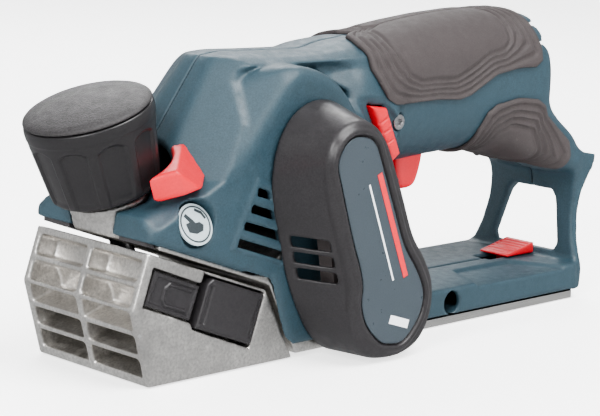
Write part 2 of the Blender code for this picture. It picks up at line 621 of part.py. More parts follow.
clamp = side("blade_clamp", [(DRUM_X - 7.2, DRUM_Z + 8.8), (DRUM_X - 1.1, DRUM_Z + 8.8),
                             (DRUM_X - 1.1, DRUM_Z + 20.2), (DRUM_X - 5.6, DRUM_Z + 18.8),
                             (DRUM_X - 8.6, DRUM_Z + 14.6)],
             (-26.6, 26.6), STEEL, roughness=0.3, metallic=1.0)
for i, y in enumerate((-17.0, 0.0, 17.0)):
    p = Vector((DRUM_X - 7.6, y, DRUM_Z + 13.0))
    d = Vector((-0.94, 0, 0.342)).normalized()
    screw_room = cylinder("cut_clamp_%d" % (i + 1), p - d * 3.2, p + d * 8, 2.9, n=20)
    boolean(clamp, screw_room)
    scr = cylinder("clamp_screw_%d" % (i + 1), p - d * 2.7, p - d * 0.7, 2.4, DARKSTEEL,
                   roughness=0.3, metallic=1.0, n=18)
turned("drum_shaft", [(0, 36.0), (4.0, 36.0), (4.0, -48.2), (0, -48.2)], DRUM_AXIS, Y,
       STEEL, roughness=0.25, metallic=1.0, n=24)


def bearing(name, p, y0, y1, r_in, r_out):
    return turned(name, [(r_out, y1), (r_out, y0), (r_in, y0), (r_in, y1)], (p[0], 0, p[2]), Y,
                  STEEL, roughness=0.25, metallic=1.0, n=28)


bearing("drum_bearing_left", DRUM_AXIS, -34.6, -29.6, 4.4, 8.0)
bearing("drum_bearing_right", DRUM_AXIS, 29.6, 34.6, 4.4, 8.0)


def pulley(name, p, r, bore_r):
    return turned(name, [(r + 1.6, PULLEY_Y1), (r + 1.6, PULLEY_Y1 - 1.0), (r, PULLEY_Y1 - 1.3),
                         (r, PULLEY_Y0 + 1.3), (r + 1.6, PULLEY_Y0 + 1.0), (r + 1.6, PULLEY_Y0),
                         (bore_r, PULLEY_Y0), (bore_r, PULLEY_Y1)], (p[0], 0, p[2]), Y,
                  DARKSTEEL, roughness=0.4, metallic=0.8, n=36)


MOTOR_AXIS = Vector((MOTOR_X, 0.0, MOTOR_Z))
pulley("drum_pulley", DRUM_AXIS, DRUM_PULLEY_R, 4.35)
pulley("motor_pulley", MOTOR_AXIS, MOTOR_PULLEY_R, 2.85)


def belt_loop(r0, r1, n=20):
    """Closed loop round both pulleys; r0 at the drum, r1 at the motor."""
    d = Vector((MOTOR_X - DRUM_X, MOTOR_Z - DRUM_Z))
    base_a = math.degrees(math.atan2(d.y, d.x))
    off = math.degrees(math.acos((r0 - r1) / d.length))
    return arc(MOTOR_X, MOTOR_Z, r1, base_a - off, base_a + off, n) \
        + arc(DRUM_X, DRUM_Z, r0, base_a + off, base_a + 360 - off, n)


outline("drive_belt", [belt_loop(DRUM_PULLEY_R + 0.35 + BELT_T, MOTOR_PULLEY_R + 0.35 + BELT_T),
                       belt_loop(DRUM_PULLEY_R + 0.35, MOTOR_PULLEY_R + 0.35)],
        3.2, side_matrix((PULLEY_Y0 + PULLEY_Y1) / 2), BLACK, roughness=0.8)

# ---- belt cover ------------------------------------------------------------
COVER = [(51.4, 66), (52.6, 76), (56.6, 84.8), (63.5, 91.2), (72.6, 94.0), (82, 92.4),
         (89.6, 87), (95, 76.5), (99.6, 61), (105, 46.5), (111.6, 36.4), (116.4, 26.4),
         (116.0, 14.4), (110.4, 5.0), (101.4, 0.9), (91.4, 0.5), (81.6, 1.9), (72.8, 8.4),
         (66.6, 17.6), (60.6, 30), (56.4, 43), (52.6, 56.5)]
COVER_FACE = [(58.8, 66), (57.6, 75), (60.2, 82.6), (65.8, 87.4), (73.4, 89.2), (80.8, 87.2),
              (86.6, 82.2), (90.8, 75.2), (97.4, 61), (104.2, 45.6), (111.4, 35.8), (116.2, 26),
              (115.8, 14.4), (110.2, 5.2), (101.4, 1.1), (91.4, 0.7), (82.2, 2.8), (75.6, 9.4),
              (72.4, 18.6), (71.6, 29), (67.2, 42), (61.6, 56)]
BADGE = [(63.5, 66), (61.2, 74), (63.6, 80.2), (69.0, 83.8), (76.0, 83.4), (80.6, 80.6),
         (83.6, 75.2), (90.6, 59.5), (98.0, 43), (105.6, 32.6), (109.6, 25.2), (110.0, 19.5),
         (107.2, 12.8), (99.6, 6.1), (91.5, 6.1), (86.1, 8.2), (79.2, 15), (76.2, 22.6),
         (76.4, 29.5), (74.6, 36.5), (70.2, 47)]
COVER_Y = (-32.35, -51.0, -54.6)


def ring_at(pts, y):
    return [(a, y, b) for a, b in pts]


def between(t):
    return [(a + (c - a) * t, b + (d - b) * t) for (a, b), (c, d) in zip(COVER, COVER_FACE)]


cover = loft("belt_cover", [
    ring_at(COVER, COVER_Y[0]), ring_at(between(0.45), -42.0), ring_at(COVER_FACE, COVER_Y[1]),
    ring_at(inset(COVER_FACE, 1.2), -53.4), ring_at(inset(COVER_FACE, 2.8), COVER_Y[2])],
    BLACK, roughness=0.5)
cover_in = loft("cut_cover_in", [
    ring_at(inset(COVER, 2.0), -31.0), ring_at(inset(between(0.45), 2.0), -42.0),
    ring_at(inset(COVER_FACE, 2.2), -49.8), ring_at(inset(COVER_FACE, 3.4), -51.8)])
badge_seat = side("cut_badge_seat", BADGE, (-60, -54.0))
boolean(cover, cover_in)
boolean(cover, badge_seat)
for i, (z0, z1) in enumerate(((43.2, 46.6), (37.6, 41.0), (32.0, 35.4))):
    slot = box("cut_cover_slot_%d" % (i + 1), (48, 80), (-48.2, -36.0), (z0, z1))
    boolean(cover, slot)
side("badge_plate", inset(BADGE, 0.5), (-54.5, -54.25), GREY, roughness=0.35)

# ---- motor -----------------------------------------------------------------
turned("motor_can", [(MOTOR_R, 15.0), (MOTOR_R, -20.5), (17.4, -20.5), (17.4, 15.0)], MOTOR_AXIS, Y,
       DARKSTEEL, roughness=0.4, metallic=0.9, n=40)
turned("motor_end_bell", [(5.6, 26.0), (12, 26.0), (19.6, 21.0), (MOTOR_R, 15.35), (18.2, 15.35),
                          (16.4, 19.5), (5.6, 21.0)][::1], MOTOR_AXIS, Y, BLACK, roughness=0.6, n=36)
turned("motor_core", [(16.4, 12.5), (16.4, -16.5), (2.85, -16.5), (2.85, 12.5)], MOTOR_AXIS, Y,
       COPPER, roughness=0.4, metallic=0.7, n=36)
turned("motor_shaft", [(0, 25.4), (2.5, 25.4), (2.5, -48.2), (0, -48.2)], MOTOR_AXIS, Y,
       STEEL, roughness=0.25, metallic=1.0, n=20)
fan = turned("cooling_fan", [(16.6, -21.2), (16.6, -22.2), (6.0, -23.0), (6.0, -26.2),
                             (2.85, -26.2), (2.85, -21.2)], MOTOR_AXIS, Y, BLACK, roughness=0.5, n=36)
for i in range(8):
    a = math.tau * i / 8
    vane = box("fan_vane_%d" % (i + 1), (0, 9.6), (-0.6, 0.6), (0, 4.2))
    vane.matrix_world = axis_matrix(MOTOR_AXIS - Y * 26.0, Y) @ Matrix.Rotation(a, 4, 'Z') \
        @ Matrix.Translation((10.2 * MM, 0, 2.15 * MM))
    boolean(fan, vane, 'UNION')
bearing("motor_bearing_left", MOTOR_AXIS, -31.6, -27.6, 2.9, 8.0)
bearing("motor_bearing_right", MOTOR_AXIS, 21.4, 25.2, 2.9, 5.2)

# ---- electrics -------------------------------------------------------------
box("switch_module", (136, 156), (-8.5, 8.5), (82.5, 98), BLACK, roughness=0.6, bevel=0.8)
box("control_board", (104, 128), (-13, 13), (99.0, 100.6), BOARD, roughness=0.6)
contacts = box("battery_contacts", (166, 176), (-12.5, 12.5), (80, 106), BLACK, roughness=0.6, bevel=0.6)
for i, y in enumerate((-7.5, 0.0, 7.5)):
    prong = box("contact_prong_%d" % (i + 1), (170, 190), (y - 0.6, y + 0.6), (86, 100))
    boolean(contacts, prong, 'UNION')
turned("chip_duct", [(DUCT_R, 41.0), (DUCT_R, 14.0), (DUCT_R - 1.8, 14.0), (DUCT_R - 1.8, 41.0)],
       (DUCT_X, 0, DUCT_Z), Y, BLACK, roughness=0.55, n=36)

# ---- small fixed pieces ----------------------------------------------------
turned("setting_disc", [(0, 0.9), (7.0, 0.9), (7.4, 0.5), (7.4, 0.0), (0, 0.0)],
       (18.0, -29.9, 54.1), Vector((0, -4.4, 2.2)).normalized(), GREY, roughness=0.35, n=32)
turned("guide_nut", [(4.1, 1.6), (4.1, -1.6), (2.4, -1.6), (2.4, 1.6)], (155, -20.0, 8.5), Y,
       BRASS, roughness=0.3, metallic=0.9, n=20)

# ---- controls ---------------------------------------------------------------
trig = side("trigger", [(142, 64), (143.2, 56), (145.4, 51.6), (149, 50.4), (153.6, 51.0),
                        (156.2, 53.6), (158.4, 60), (159.2, 66), (158.6, 77.6), (137.4, 77.6),
                        (134.6, 72), (134.2, 66.5)], (-8.6, 8.6), RED, roughness=0.4)
add_bevel(trig, 1.4, 2)
lock = side("lock_off_button", [(105.2, 88.7), (113.9, 87.6), (122.6, 69.7), (117.9, 66.5)],
            (-29.2, -17.0), RED, roughness=0.4)
add_bevel(lock, 1.0, 2)

# ---- park rest under the tail ------------------------------------------------
foot = side("park_foot", [(200.5, 3.6), (200.5, 0.5), (204, 0.5), (222.5, 3.2), (225.2, 5.6),
                          (225.2, 8.6), (223, 10.4), (219.6, 9.4), (206, 6.0)], (-8.8, 8.8),
            BLACK, roughness=0.55)
pin_hole = cylinder("cut_pin_hole", (222.2, -20, 7.0), (222.2, 20, 7.0), 1.85, n=20)
boolean(foot, pin_hole)
cylinder("park_pin", (222.2, -9.6, 7.0), (222.2, 9.6, 7.0), 1.5, STEEL, roughness=0.3,
         metallic=1.0, n=20)

# thumb slide that locks the park rest
slide = side("park_lock", [(217.6, 14.8), (217.6, 15.4), (235.0, 18.8), (235.2, 14.8)], (-6.6, 8.6),
             RED, roughness=0.45)
stem = box("park_lock_stem", (223, 229), (-2.0, 4.0), (10.9, 15.4))
boolean(slide, stem, 'UNION')
for i in range(6):
    x = 219.8 + i * 2.5
    groove = box("cut_rib_%d" % (i + 1), (x - 0.45, x + 0.45), (-7.5, 9.5),
                 (15.15 + (x - 217.6) * 0.195, 22))
    boolean(slide, groove)
for nm, (x, y, z) in SCREWS:
    cylinder(nm, (x, y - 1.6, z), (x, y + 1.0, z), 3.1, DARKSTEEL, roughness=0.35, metallic=0.9, n=20)
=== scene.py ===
"""Looks for the cordless electric hand planer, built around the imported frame.

Moulded pieces are distance fields in millimetres, measured from the front
shoe's lower corner, and meshed with OpenVDB.  Turned and flat pieces are meshes.
"""
import math

import bmesh
import bpy
import numpy as np
import openvdb as vdb
from mathutils import Matrix, Vector

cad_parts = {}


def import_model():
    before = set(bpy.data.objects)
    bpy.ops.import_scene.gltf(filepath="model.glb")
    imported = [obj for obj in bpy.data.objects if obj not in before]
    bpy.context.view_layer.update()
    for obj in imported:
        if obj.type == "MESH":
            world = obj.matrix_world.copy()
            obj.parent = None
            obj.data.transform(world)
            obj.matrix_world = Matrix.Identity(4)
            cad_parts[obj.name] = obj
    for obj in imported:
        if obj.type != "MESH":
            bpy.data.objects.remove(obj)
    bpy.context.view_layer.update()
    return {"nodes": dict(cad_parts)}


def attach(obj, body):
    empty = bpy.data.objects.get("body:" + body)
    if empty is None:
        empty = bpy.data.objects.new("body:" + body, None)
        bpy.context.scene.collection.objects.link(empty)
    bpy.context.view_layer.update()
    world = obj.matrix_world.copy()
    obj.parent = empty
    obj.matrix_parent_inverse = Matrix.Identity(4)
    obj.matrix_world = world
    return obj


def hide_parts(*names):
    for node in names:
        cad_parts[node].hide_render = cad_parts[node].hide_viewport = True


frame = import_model()
MM = 0.001
OX = 150.0
SIN, COS = math.sin(math.radians(19.0)), math.cos(math.radians(19.0))
U = np.array([-SIN, 0.0, COS])
KB = np.array([5.0, 0.0, 63.0])


def world(p):
    return Vector(((p[0] - OX) * MM, p[1] * MM, p[2] * MM))


# ------------------------------------------------------------------ materials
def new_material(name, base, rough, metal=0.0, var=0.10, scale=1500.0, bump=0.3, bscale=2600.0,
                 bdist=0.00006, rvar=0.10, wear=0.0, blotch=0.12, coat=0.0, brushed=None,
                 spec=0.5, second=None):
    """Procedural finish: fine grain, soft blotches, roughness variation and a surface bump."""
    m = bpy.data.materials.new(name)
    m.use_nodes = True
    nt = m.node_tree
    b = nt.nodes["Principled BSDF"]
    b.inputs["Metallic"].default_value = metal
    b.inputs["Specular IOR Level"].default_value = spec
    if coat:
        b.inputs["Coat Weight"].default_value = coat
        b.inputs["Coat Roughness"].default_value = 0.25
    tc = nt.nodes.new("ShaderNodeTexCoord")
    src = tc.outputs["Object"]
    if brushed is not None:
        mp = nt.nodes.new("ShaderNodeMapping")
        mp.inputs["Scale"].default_value = brushed
        nt.links.new(src, mp.inputs["Vector"])
        fine_src = mp.outputs["Vector"]
    else:
        fine_src = src

    def noise(s, vec, detail=3.0, rough_=0.6):
        n = nt.nodes.new("ShaderNodeTexNoise")
        n.inputs["Scale"].default_value = s
        n.inputs["Detail"].default_value = detail
        n.inputs["Roughness"].default_value = rough_
        nt.links.new(vec, n.inputs["Vector"])
        return n.outputs["Fac"]

    def ramp(val, lo, hi, a, c):
        r = nt.nodes.new("ShaderNodeMapRange")
        r.inputs["From Min"].default_value = lo
        r.inputs["From Max"].default_value = hi
        r.inputs["To Min"].default_value = a
        r.inputs["To Max"].default_value = c
        nt.links.new(val, r.inputs["Value"])
        return r.outputs["Result"]

    def mix(fac, a, c):
        x = nt.nodes.new("ShaderNodeMix")
        x.data_type = 'RGBA'
        nt.links.new(fac, x.inputs["Factor"])
        for sock, val in ((x.inputs["A"], a), (x.inputs["B"], c)):
            if isinstance(val, tuple):
                sock.default_value = (*val, 1.0)
            else:
                nt.links.new(val, sock)
        return x.outputs["Result"]

    dark = tuple(max(0.0, c * (1 - var)) for c in base)
    light = tuple(min(1.0, c * (1 + var) + 0.004) for c in base)
    grain = noise(scale, fine_src)
    col = mix(ramp(grain, 0.3, 0.7, 0.0, 1.0), dark, light)
    if blotch:
        tone = second or tuple(c * 0.72 for c in base)
        col = mix(ramp(noise(55.0, src, 4.0), 0.42, 0.75, 0.0, blotch * 4), col, tone)
    if wear:
        g = nt.nodes.new("ShaderNodeNewGeometry")
        edge = ramp(g.outputs["Pointiness"], 0.53, 0.62, 0.0, wear)
        col = mix(edge, col, tuple(min(1.0, c * 1.5 + 0.05) for c in base))
    nt.links.new(col, b.inputs["Base Color"])
    nt.links.new(ramp(noise(260.0, fine_src, 5.0), 0.3, 0.7, max(0.02, rough - rvar), rough + rvar),
                 b.inputs["Roughness"])
    bp = nt.nodes.new("ShaderNodeBump")
    bp.inputs["Strength"].default_value = bump
    bp.inputs["Distance"].default_value = bdist
    nt.links.new(noise(bscale, fine_src, 4.0, 0.65), bp.inputs["Height"])
    nt.links.new(bp.outputs["Normal"], b.inputs["Normal"])
    return m


M = {
    "teal": new_material("teal_nylon", (0.017, 0.040, 0.054), 0.50, var=0.22, scale=1700, bump=0.55,
                         bscale=2400, bdist=0.00010, wear=0.25, blotch=0.03),
    "black": new_material("black_moulding", (0.018, 0.0165, 0.018), 0.42, var=0.2, bump=0.4,
                          bscale=2200, wear=0.15, blotch=0.05),
    "knob": new_material("knob_plastic", (0.012, 0.011, 0.012), 0.36, var=0.15, bump=0.35,
                         bscale=2600, bdist=0.00008, wear=0.1, blotch=0.04, rvar=0.05),
    "cap": new_material("knob_cap_grain", (0.022, 0.020, 0.021), 0.55, var=0.35, scale=1300,
                        bump=1.0, bscale=1300, bdist=0.00022, blotch=0.0, rvar=0.08),
    "rubber": new_material("soft_rubber", (0.040, 0.033, 0.033), 0.68, var=0.18, scale=2200,
                           bump=0.6, bscale=2400, bdist=0.00009, rvar=0.08, wear=0.2, blotch=0.06,
                           spec=0.35),
    "red": new_material("red_plastic", (0.47, 0.008, 0.014), 0.42, var=0.08, bump=0.3, wear=0.1,
                        blotch=0.03, rvar=0.06),
    "cast": new_material("cast_aluminium", (0.80, 0.78, 0.75), 0.42, metal=1.0, var=0.20, scale=900,
                         bump=0.75, bscale=700, bdist=0.00022, rvar=0.14, wear=0.6, blotch=0.16,
                         second=(0.50, 0.485, 0.47)),
    "milled": new_material("milled_aluminium", (0.72, 0.71, 0.69), 0.28, metal=1.0, var=0.08,
                           scale=700, bump=0.4, bscale=900, bdist=0.00008, blotch=0.05,
                           brushed=(0.05, 1.0, 1.0)),
    "steel": new_material("ground_steel", (0.56, 0.56, 0.57), 0.24, metal=1.0, var=0.08, scale=800,
                          bump=0.3, bscale=1200, bdist=0.00004, blotch=0.05, brushed=(1.0, 0.06, 1.0)),
    "dark": new_material("blackened_steel", (0.09, 0.09, 0.095), 0.34, metal=1.0, var=0.15,
                         bump=0.3, blotch=0.08),
    "brass": new_material("brass", (0.62, 0.44, 0.16), 0.3, metal=1.0, var=0.08, bump=0.25, blotch=0.1),
    "copper": new_material("wound_copper", (0.60, 0.25, 0.11), 0.36, metal=1.0, var=0.15, scale=900,
                           bump=0.8, bscale=900, brushed=(1.0, 0.1, 1.0), blotch=0.1),
    "board": new_material("circuit_board", (0.012, 0.11, 0.045), 0.4, var=0.3, scale=500, bump=0.4,
                          bscale=500, blotch=0.1),
    "badge": new_material("badge_plate", (0.052, 0.066, 0.078), 0.36, metal=0.35, var=0.10,
                          scale=1900, bump=0.3, bscale=2400, blotch=0.04),
    "disc": new_material("setting_disc", (0.34, 0.40, 0.42), 0.42, var=0.08, scale=1900, bump=0.4,
                         blotch=0.05),
    "print": new_material("pale_print", (0.62, 0.64, 0.66), 0.5, var=0.06, bump=0.1, blotch=0.02),
    "ink": new_material("dark_print", (0.02, 0.028, 0.032), 0.5, var=0.1, bump=0.1, blotch=0.02),
}

# ------------------------------------------------------------------- fields
def poly(P, Q, pts):
    """Signed distance to a closed polygon, negative inside."""
    P, Q = np.broadcast_arrays(np.asarray(P, np.float32), np.asarray(Q, np.float32))
    d = np.full(P.shape, 1e9, np.float32)
    s = np.zeros(P.shape, bool)
    for i in range(len(pts)):
        ax, ay = pts[i - 1]
        bx, by = pts[i]
        ex, ey = bx - ax, by - ay
        wx, wy = P - ax, Q - ay
        t = np.clip((wx * ex + wy * ey) / (ex * ex + ey * ey + 1e-12), 0, 1)
        d = np.minimum(d, (wx - ex * t) ** 2 + (wy - ey * t) ** 2)
        c = (ay <= Q) != (by <= Q)
        xin = ax + wy * (ex / (ey if abs(ey) > 1e-9 else 1e-9))
        s ^= c & (P < xin)
    return np.where(s, -1, 1) * np.sqrt(d)


def polyline(P, Q, pts):
    """Distance to an open run of segments."""
    d = None
    for (ax, ay), (bx, by) in zip(pts, pts[1:]):
        ex, ey = bx - ax, by - ay
        t = np.clip(((P - ax) * ex + (Q - ay) * ey) / (ex * ex + ey * ey), 0, 1)
        e = (P - ax - ex * t) ** 2 + (Q - ay - ey * t) ** 2
        d = e if d is None else np.minimum(d, e)
    return np.sqrt(d)


def smin(a, b, k):
    h = np.maximum(k - np.abs(a - b), 0) / k
    return np.minimum(a, b) - h * h * (k / 4)


def smax(a, b, k):
    h = np.maximum(k - np.abs(a - b), 0) / k
    return np.maximum(a, b) + h * h * (k / 4)


def cut(a, b, k=1.0):
    return smax(a, -b, k)


def slab(V, lo, hi):
    return np.abs(V - (lo + hi) / 2) - (hi - lo) / 2


def block(X, Y, Z, x, y, z, k=0.8):
    return smax(smax(slab(X, *x), slab(Z, *z), k), slab(Y, *y), k)


def axis_coords(X, Y, Z, p, d):
    """Height along an axis and distance from it."""
    d = np.asarray(d, float)
    d = d / np.linalg.norm(d)
    a, b, c = X - p[0], Y - p[1], Z - p[2]
    h = a * d[0] + b * d[1] + c * d[2]
    r = np.sqrt(np.maximum(a * a + b * b + c * c - h * h, 0))
    return h, r


def rod(X, Y, Z, p0, p1, r, k=0.8):
    p0, p1 = np.array(p0, float), np.array(p1, float)
    L = np.linalg.norm(p1 - p0)
    h, q = axis_coords(X, Y, Z, p0, p1 - p0)
    return smax(q - r, slab(h, 0, L), k)


def bring_in(pts, d):
    area = sum(a[0] * b[1] - b[0] * a[1] for a, b in zip(pts, pts[1:] + pts[:1]))
    s = 1.0 if area > 0 else -1.0
    out = []
    for i in range(len(pts)):
        p, q, r = Vector(pts[i - 1]), Vector(pts[i]), Vector(pts[(i + 1) % len(pts)])
        e0, e1 = (q - p).normalized(), (r - q).normalized()
        n0, n1 = Vector((-e0.y, e0.x)) * s, Vector((-e1.y, e1.x)) * s
        v = (n0 + n1) / max(1.0 + n0.dot(n1), 0.35)
        out.append((q.x + v.x * d, q.y + v.y * d))
    return out


def smooth_outline(pts, n=8):
    """Closed Catmull-Rom curve through the points."""
    out = []
    m = len(pts)
    for i in range(m):
        p0, p1, p2, p3 = (np.array(pts[(i + j - 1) % m], float) for j in range(4))
        for t in np.arange(n) / n:
            out.append(tuple(0.5 * ((2 * p1) + (p2 - p0) * t + (2 * p0 - 5 * p1 + 4 * p2 - p3) * t * t
                                    + (3 * p1 - p0 - 3 * p2 + p3) * t ** 3)))
    return out


def finish_mesh(name, v, faces_q, faces_t, material, body, nodes, world_space=False):
    me = bpy.data.meshes.new(name)
    nv, nq, ntr = len(v), len(faces_q), len(faces_t)
    v = np.asarray(v, float)
    if not world_space:
        v = (v - np.array([OX, 0, 0])) * MM
    me.vertices.add(nv)
    me.vertices.foreach_set("co", v.astype(np.float32).ravel())
    loops = np.concatenate([np.asarray(faces_q, np.int32).ravel(), np.asarray(faces_t, np.int32).ravel()])
    me.loops.add(len(loops))
    me.loops.foreach_set("vertex_index", loops.astype(np.int32))
    me.polygons.add(nq + ntr)
    starts = np.concatenate([np.arange(nq) * 4, nq * 4 + np.arange(ntr) * 3]).astype(np.int32)
    me.polygons.foreach_set("loop_start", starts)
    me.update(calc_edges=True)
    me.validate()
    me.polygons.foreach_set("use_smooth", [True] * len(me.polygons))
    me.materials.append(material)
    ob = bpy.data.objects.new(name, me)
    bpy.context.scene.collection.objects.link(ob)
    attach(ob, body)
    if nodes:
        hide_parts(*nodes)
    return ob


def grid_axes(lo, hi, step):
    ax = [np.arange(lo[i], hi[i] + step, step, dtype=np.float32) for i in range(3)]
    return ax[0][:, None, None], ax[1][None, :, None], ax[2][None, None, :]


def surface(name, phi, lo, step, material, body, nodes):
    """Mesh of the zero level of a sampled field."""
    phi = np.ascontiguousarray(np.clip(phi, -3 * step, 3 * step), dtype=np.float32)
    g = vdb.FloatGrid(3 * step)
    g.copyFromArray(phi)
    pts, tri, quad = g.convertToPolygons(isovalue=0.0, adaptivity=0.0)
    v = pts.astype(float) * step + np.array(lo, float)
    quad, tri = np.asarray(quad, np.int64).reshape(-1, 4), np.asarray(tri, np.int64).reshape(-1, 3)
    a, b, c, d = (v[quad[:, i]] for i in range(4))
    vol = (np.einsum('ij,ij->i', a, np.cross(b, c)) + np.einsum('ij,ij->i', a, np.cross(c, d))).sum()
    if vol < 0:
        quad, tri = quad[:, ::-1], tri[:, ::-1]
    return finish_mesh(name, v, quad, tri, material, body, nodes)


def sampled(name, fn, lo, hi, step, material, body, nodes):
    X, Y, Z = grid_axes(lo, hi, step)
    return surface(name, np.broadcast_to(fn(X, Y, Z), (X.shape[0], Y.shape[1], Z.shape[2])), lo, step,
                   material, body, nodes)


# -------------------------------------------------------------------- housing
BODY_SIDE = [(-1.5, 50.7), (-1.5, 57.5), (10, 60.5), (21, 75.0), (44.9, 107.9), (54, 109.6),
             (69, 108.9), (88, 108.4), (105, 108.8), (117, 110.4), (122, 106), (121, 60),
             (120.5, 40), (119.6, 22), (113, 9), (107, 3.8), (66.5, 3.8), (61.4, 8.0),
             (57.6, 17.5), (54.6, 27.6), (52.0, 31.8)]
BODY_FRONT = [(-40, 3.0), (32.0, 3.0), (32.0, 60.0), (31.0, 72.0), (27.4, 86.0), (20.8, 95.0),
              (16.8, 100.2), (16.4, 102.6), (18.6, 105.0), (14.2, 107.3), (7.0, 109.8), (-40, 109.9)]
SHOULDER = [(-1.5, 50.7), (-1.5, 57.5), (14, 61), (24, 69), (52, 69), (56, 40), (52.0, 31.8)]
SHOULDER_FRONT = [(-40, 28), (31, 28), (31, 48), (25.5, 62), (20, 70), (-40, 70)]
HANDLE = np.array([(104, 27.6, 108.6, 58.6), (108, 27.0, 109.0, 59.0), (122, 25.6, 110.9, 60.6),
                   (134, 24.2, 112.6, 61.8), (148, 23.0, 114.6, 62.6), (164, 22.4, 116.4, 63.4),
                   (182, 22.4, 117.6, 64.2), (200, 22.8, 118.2, 63.0), (213, 23.4, 118.0, 60.5),
                   (222.5, 23.8, 116.8, 58.5), (240, 24.2, 113, 55)])
FLARE = np.array([(196, 21.8, 86.8, 64), (200, 22.2, 86, 62.0), (213, 23.2, 84.5, 58.5),
                  (224, 24.6, 78.5, 54.5), (234, 25.6, 70.4, 50.8), (241, 25.8, 65.0, 48.0),
                  (245, 25.8, 61.6, 46.5), (250, 25.8, 57, 44)])
SOCKET = [(-19.6, 69.4), (-16, 66.0), (16, 66.0), (19.6, 69.4), (19.6, 106), (14, 113.4),
          (-14, 113.4), (-19.6, 106)]
BASE_PLAN = [(100, -30.6), (233, -30.6), (237.5, -27), (237.5, 27), (233, 30.6), (100, 30.6)]
ARCH = [(-29.8, 4), (-29.4, 12), (-27.2, 17.5), (-24.8, 24), (-23.0, 34), (-22.8, 44),
        (-23.6, 52), (-25.0, 60)]
ARCH = ARCH + [(-y, z) for y, z in reversed(ARCH)]
WINDOW = [(-15.4, 17.5), (15.4, 17.5), (16.8, 20.5), (12.4, 39.5), (10.2, 42.5),
          (-10.2, 42.5), (-12.4, 39.5), (-16.8, 20.5)]


def loft_field(X, A, Z, table, power):
    hw = np.interp(X, table[:, 0], table[:, 1]).astype(np.float32)
    zt = np.interp(X, table[:, 0], table[:, 2]).astype(np.float32)
    zb = np.interp(X, table[:, 0], table[:, 3]).astype(np.float32)
    zc, hh = (zt + zb) / 2, (zt - zb) / 2
    p, q = A / hw, np.abs(Z - zc) / hh
    f = (p ** power + q ** power) ** (1 / power)
    g = np.sqrt((p ** (power - 1) / hw) ** 2 + (q ** (power - 1) / hh) ** 2)
    g = g * np.maximum(f, 1e-3) ** (1 - power)
    return (f - 1) / np.maximum(g, 1e-3)


def outer_form(X, Y, Z):
    A = np.abs(Y)
    body = smax(poly(X, Z, BODY_SIDE), poly(A, Z, BODY_FRONT), 5.0)
    a, b, c = np.array([21.0, 11.0, 75.0]), np.array([44.9, 5.9, 107.9]), np.array([34.5, 28.5, 75.0])
    n = np.cross(b - a, c - a)
    n = n / np.linalg.norm(n)
    if n[0] > 0:
        n = -n
    facet = (X - a[0]) * n[0] + (A - a[1]) * n[1] + (Z - a[2]) * n[2] \
        - np.maximum(68.0 - Z, 0) * 0.9
    body = smax(body, facet, 1.6)
    shoulder = smax(poly(X, Z, SHOULDER), poly(A, Z, SHOULDER_FRONT), 3.0)
    body = smin(body, shoulder, 3.0)
    # motor bulge: a rounded drum standing proud of the sides below the shoulder strip
    rb = np.sqrt((X - 66.0) ** 2 + (Z - 70.0) ** 2)
    drum = smax(rb - 35.2, A - 31.4, 6.0)
    drum = smax(drum, 60.0 - Z, 12.0)
    body = smin(body, smax(drum, facet + 1.2, 3.0), 0.9)
    grip = smax(loft_field(X, A, Z, HANDLE, 2.6), slab(X, 100, 222.5), 9.0)
    body = smin(body, grip, 7.0)
    flare = smax(loft_field(X, A, Z, FLARE, 4.0), slab(X, 199, 242.5), 12.0)
    body = smin(body, flare, 5.0)
    s9, c9 = math.sin(math.radians(9)), math.cos(math.radians(9))
    nn = (X - 235.4) * c9 - Z * s9
    zz = (X - 235.4) * s9 + Z * c9
    web = 2.2 + 5.0 * np.clip((zz - 34) / 22, 0, 1) ** 2
    ring = smax(poly(A, zz, ARCH), -poly(A, zz, WINDOW), 2.0)
    ring = smax(ring, np.abs(nn) - web, 2.0)
    body = smin(body, ring, 4.0)
    base = smax(poly(X, Y, BASE_PLAN), slab(Z, 3.6, 14.3), 1.6)
    body = smin(body, base, 3.0)
    return body


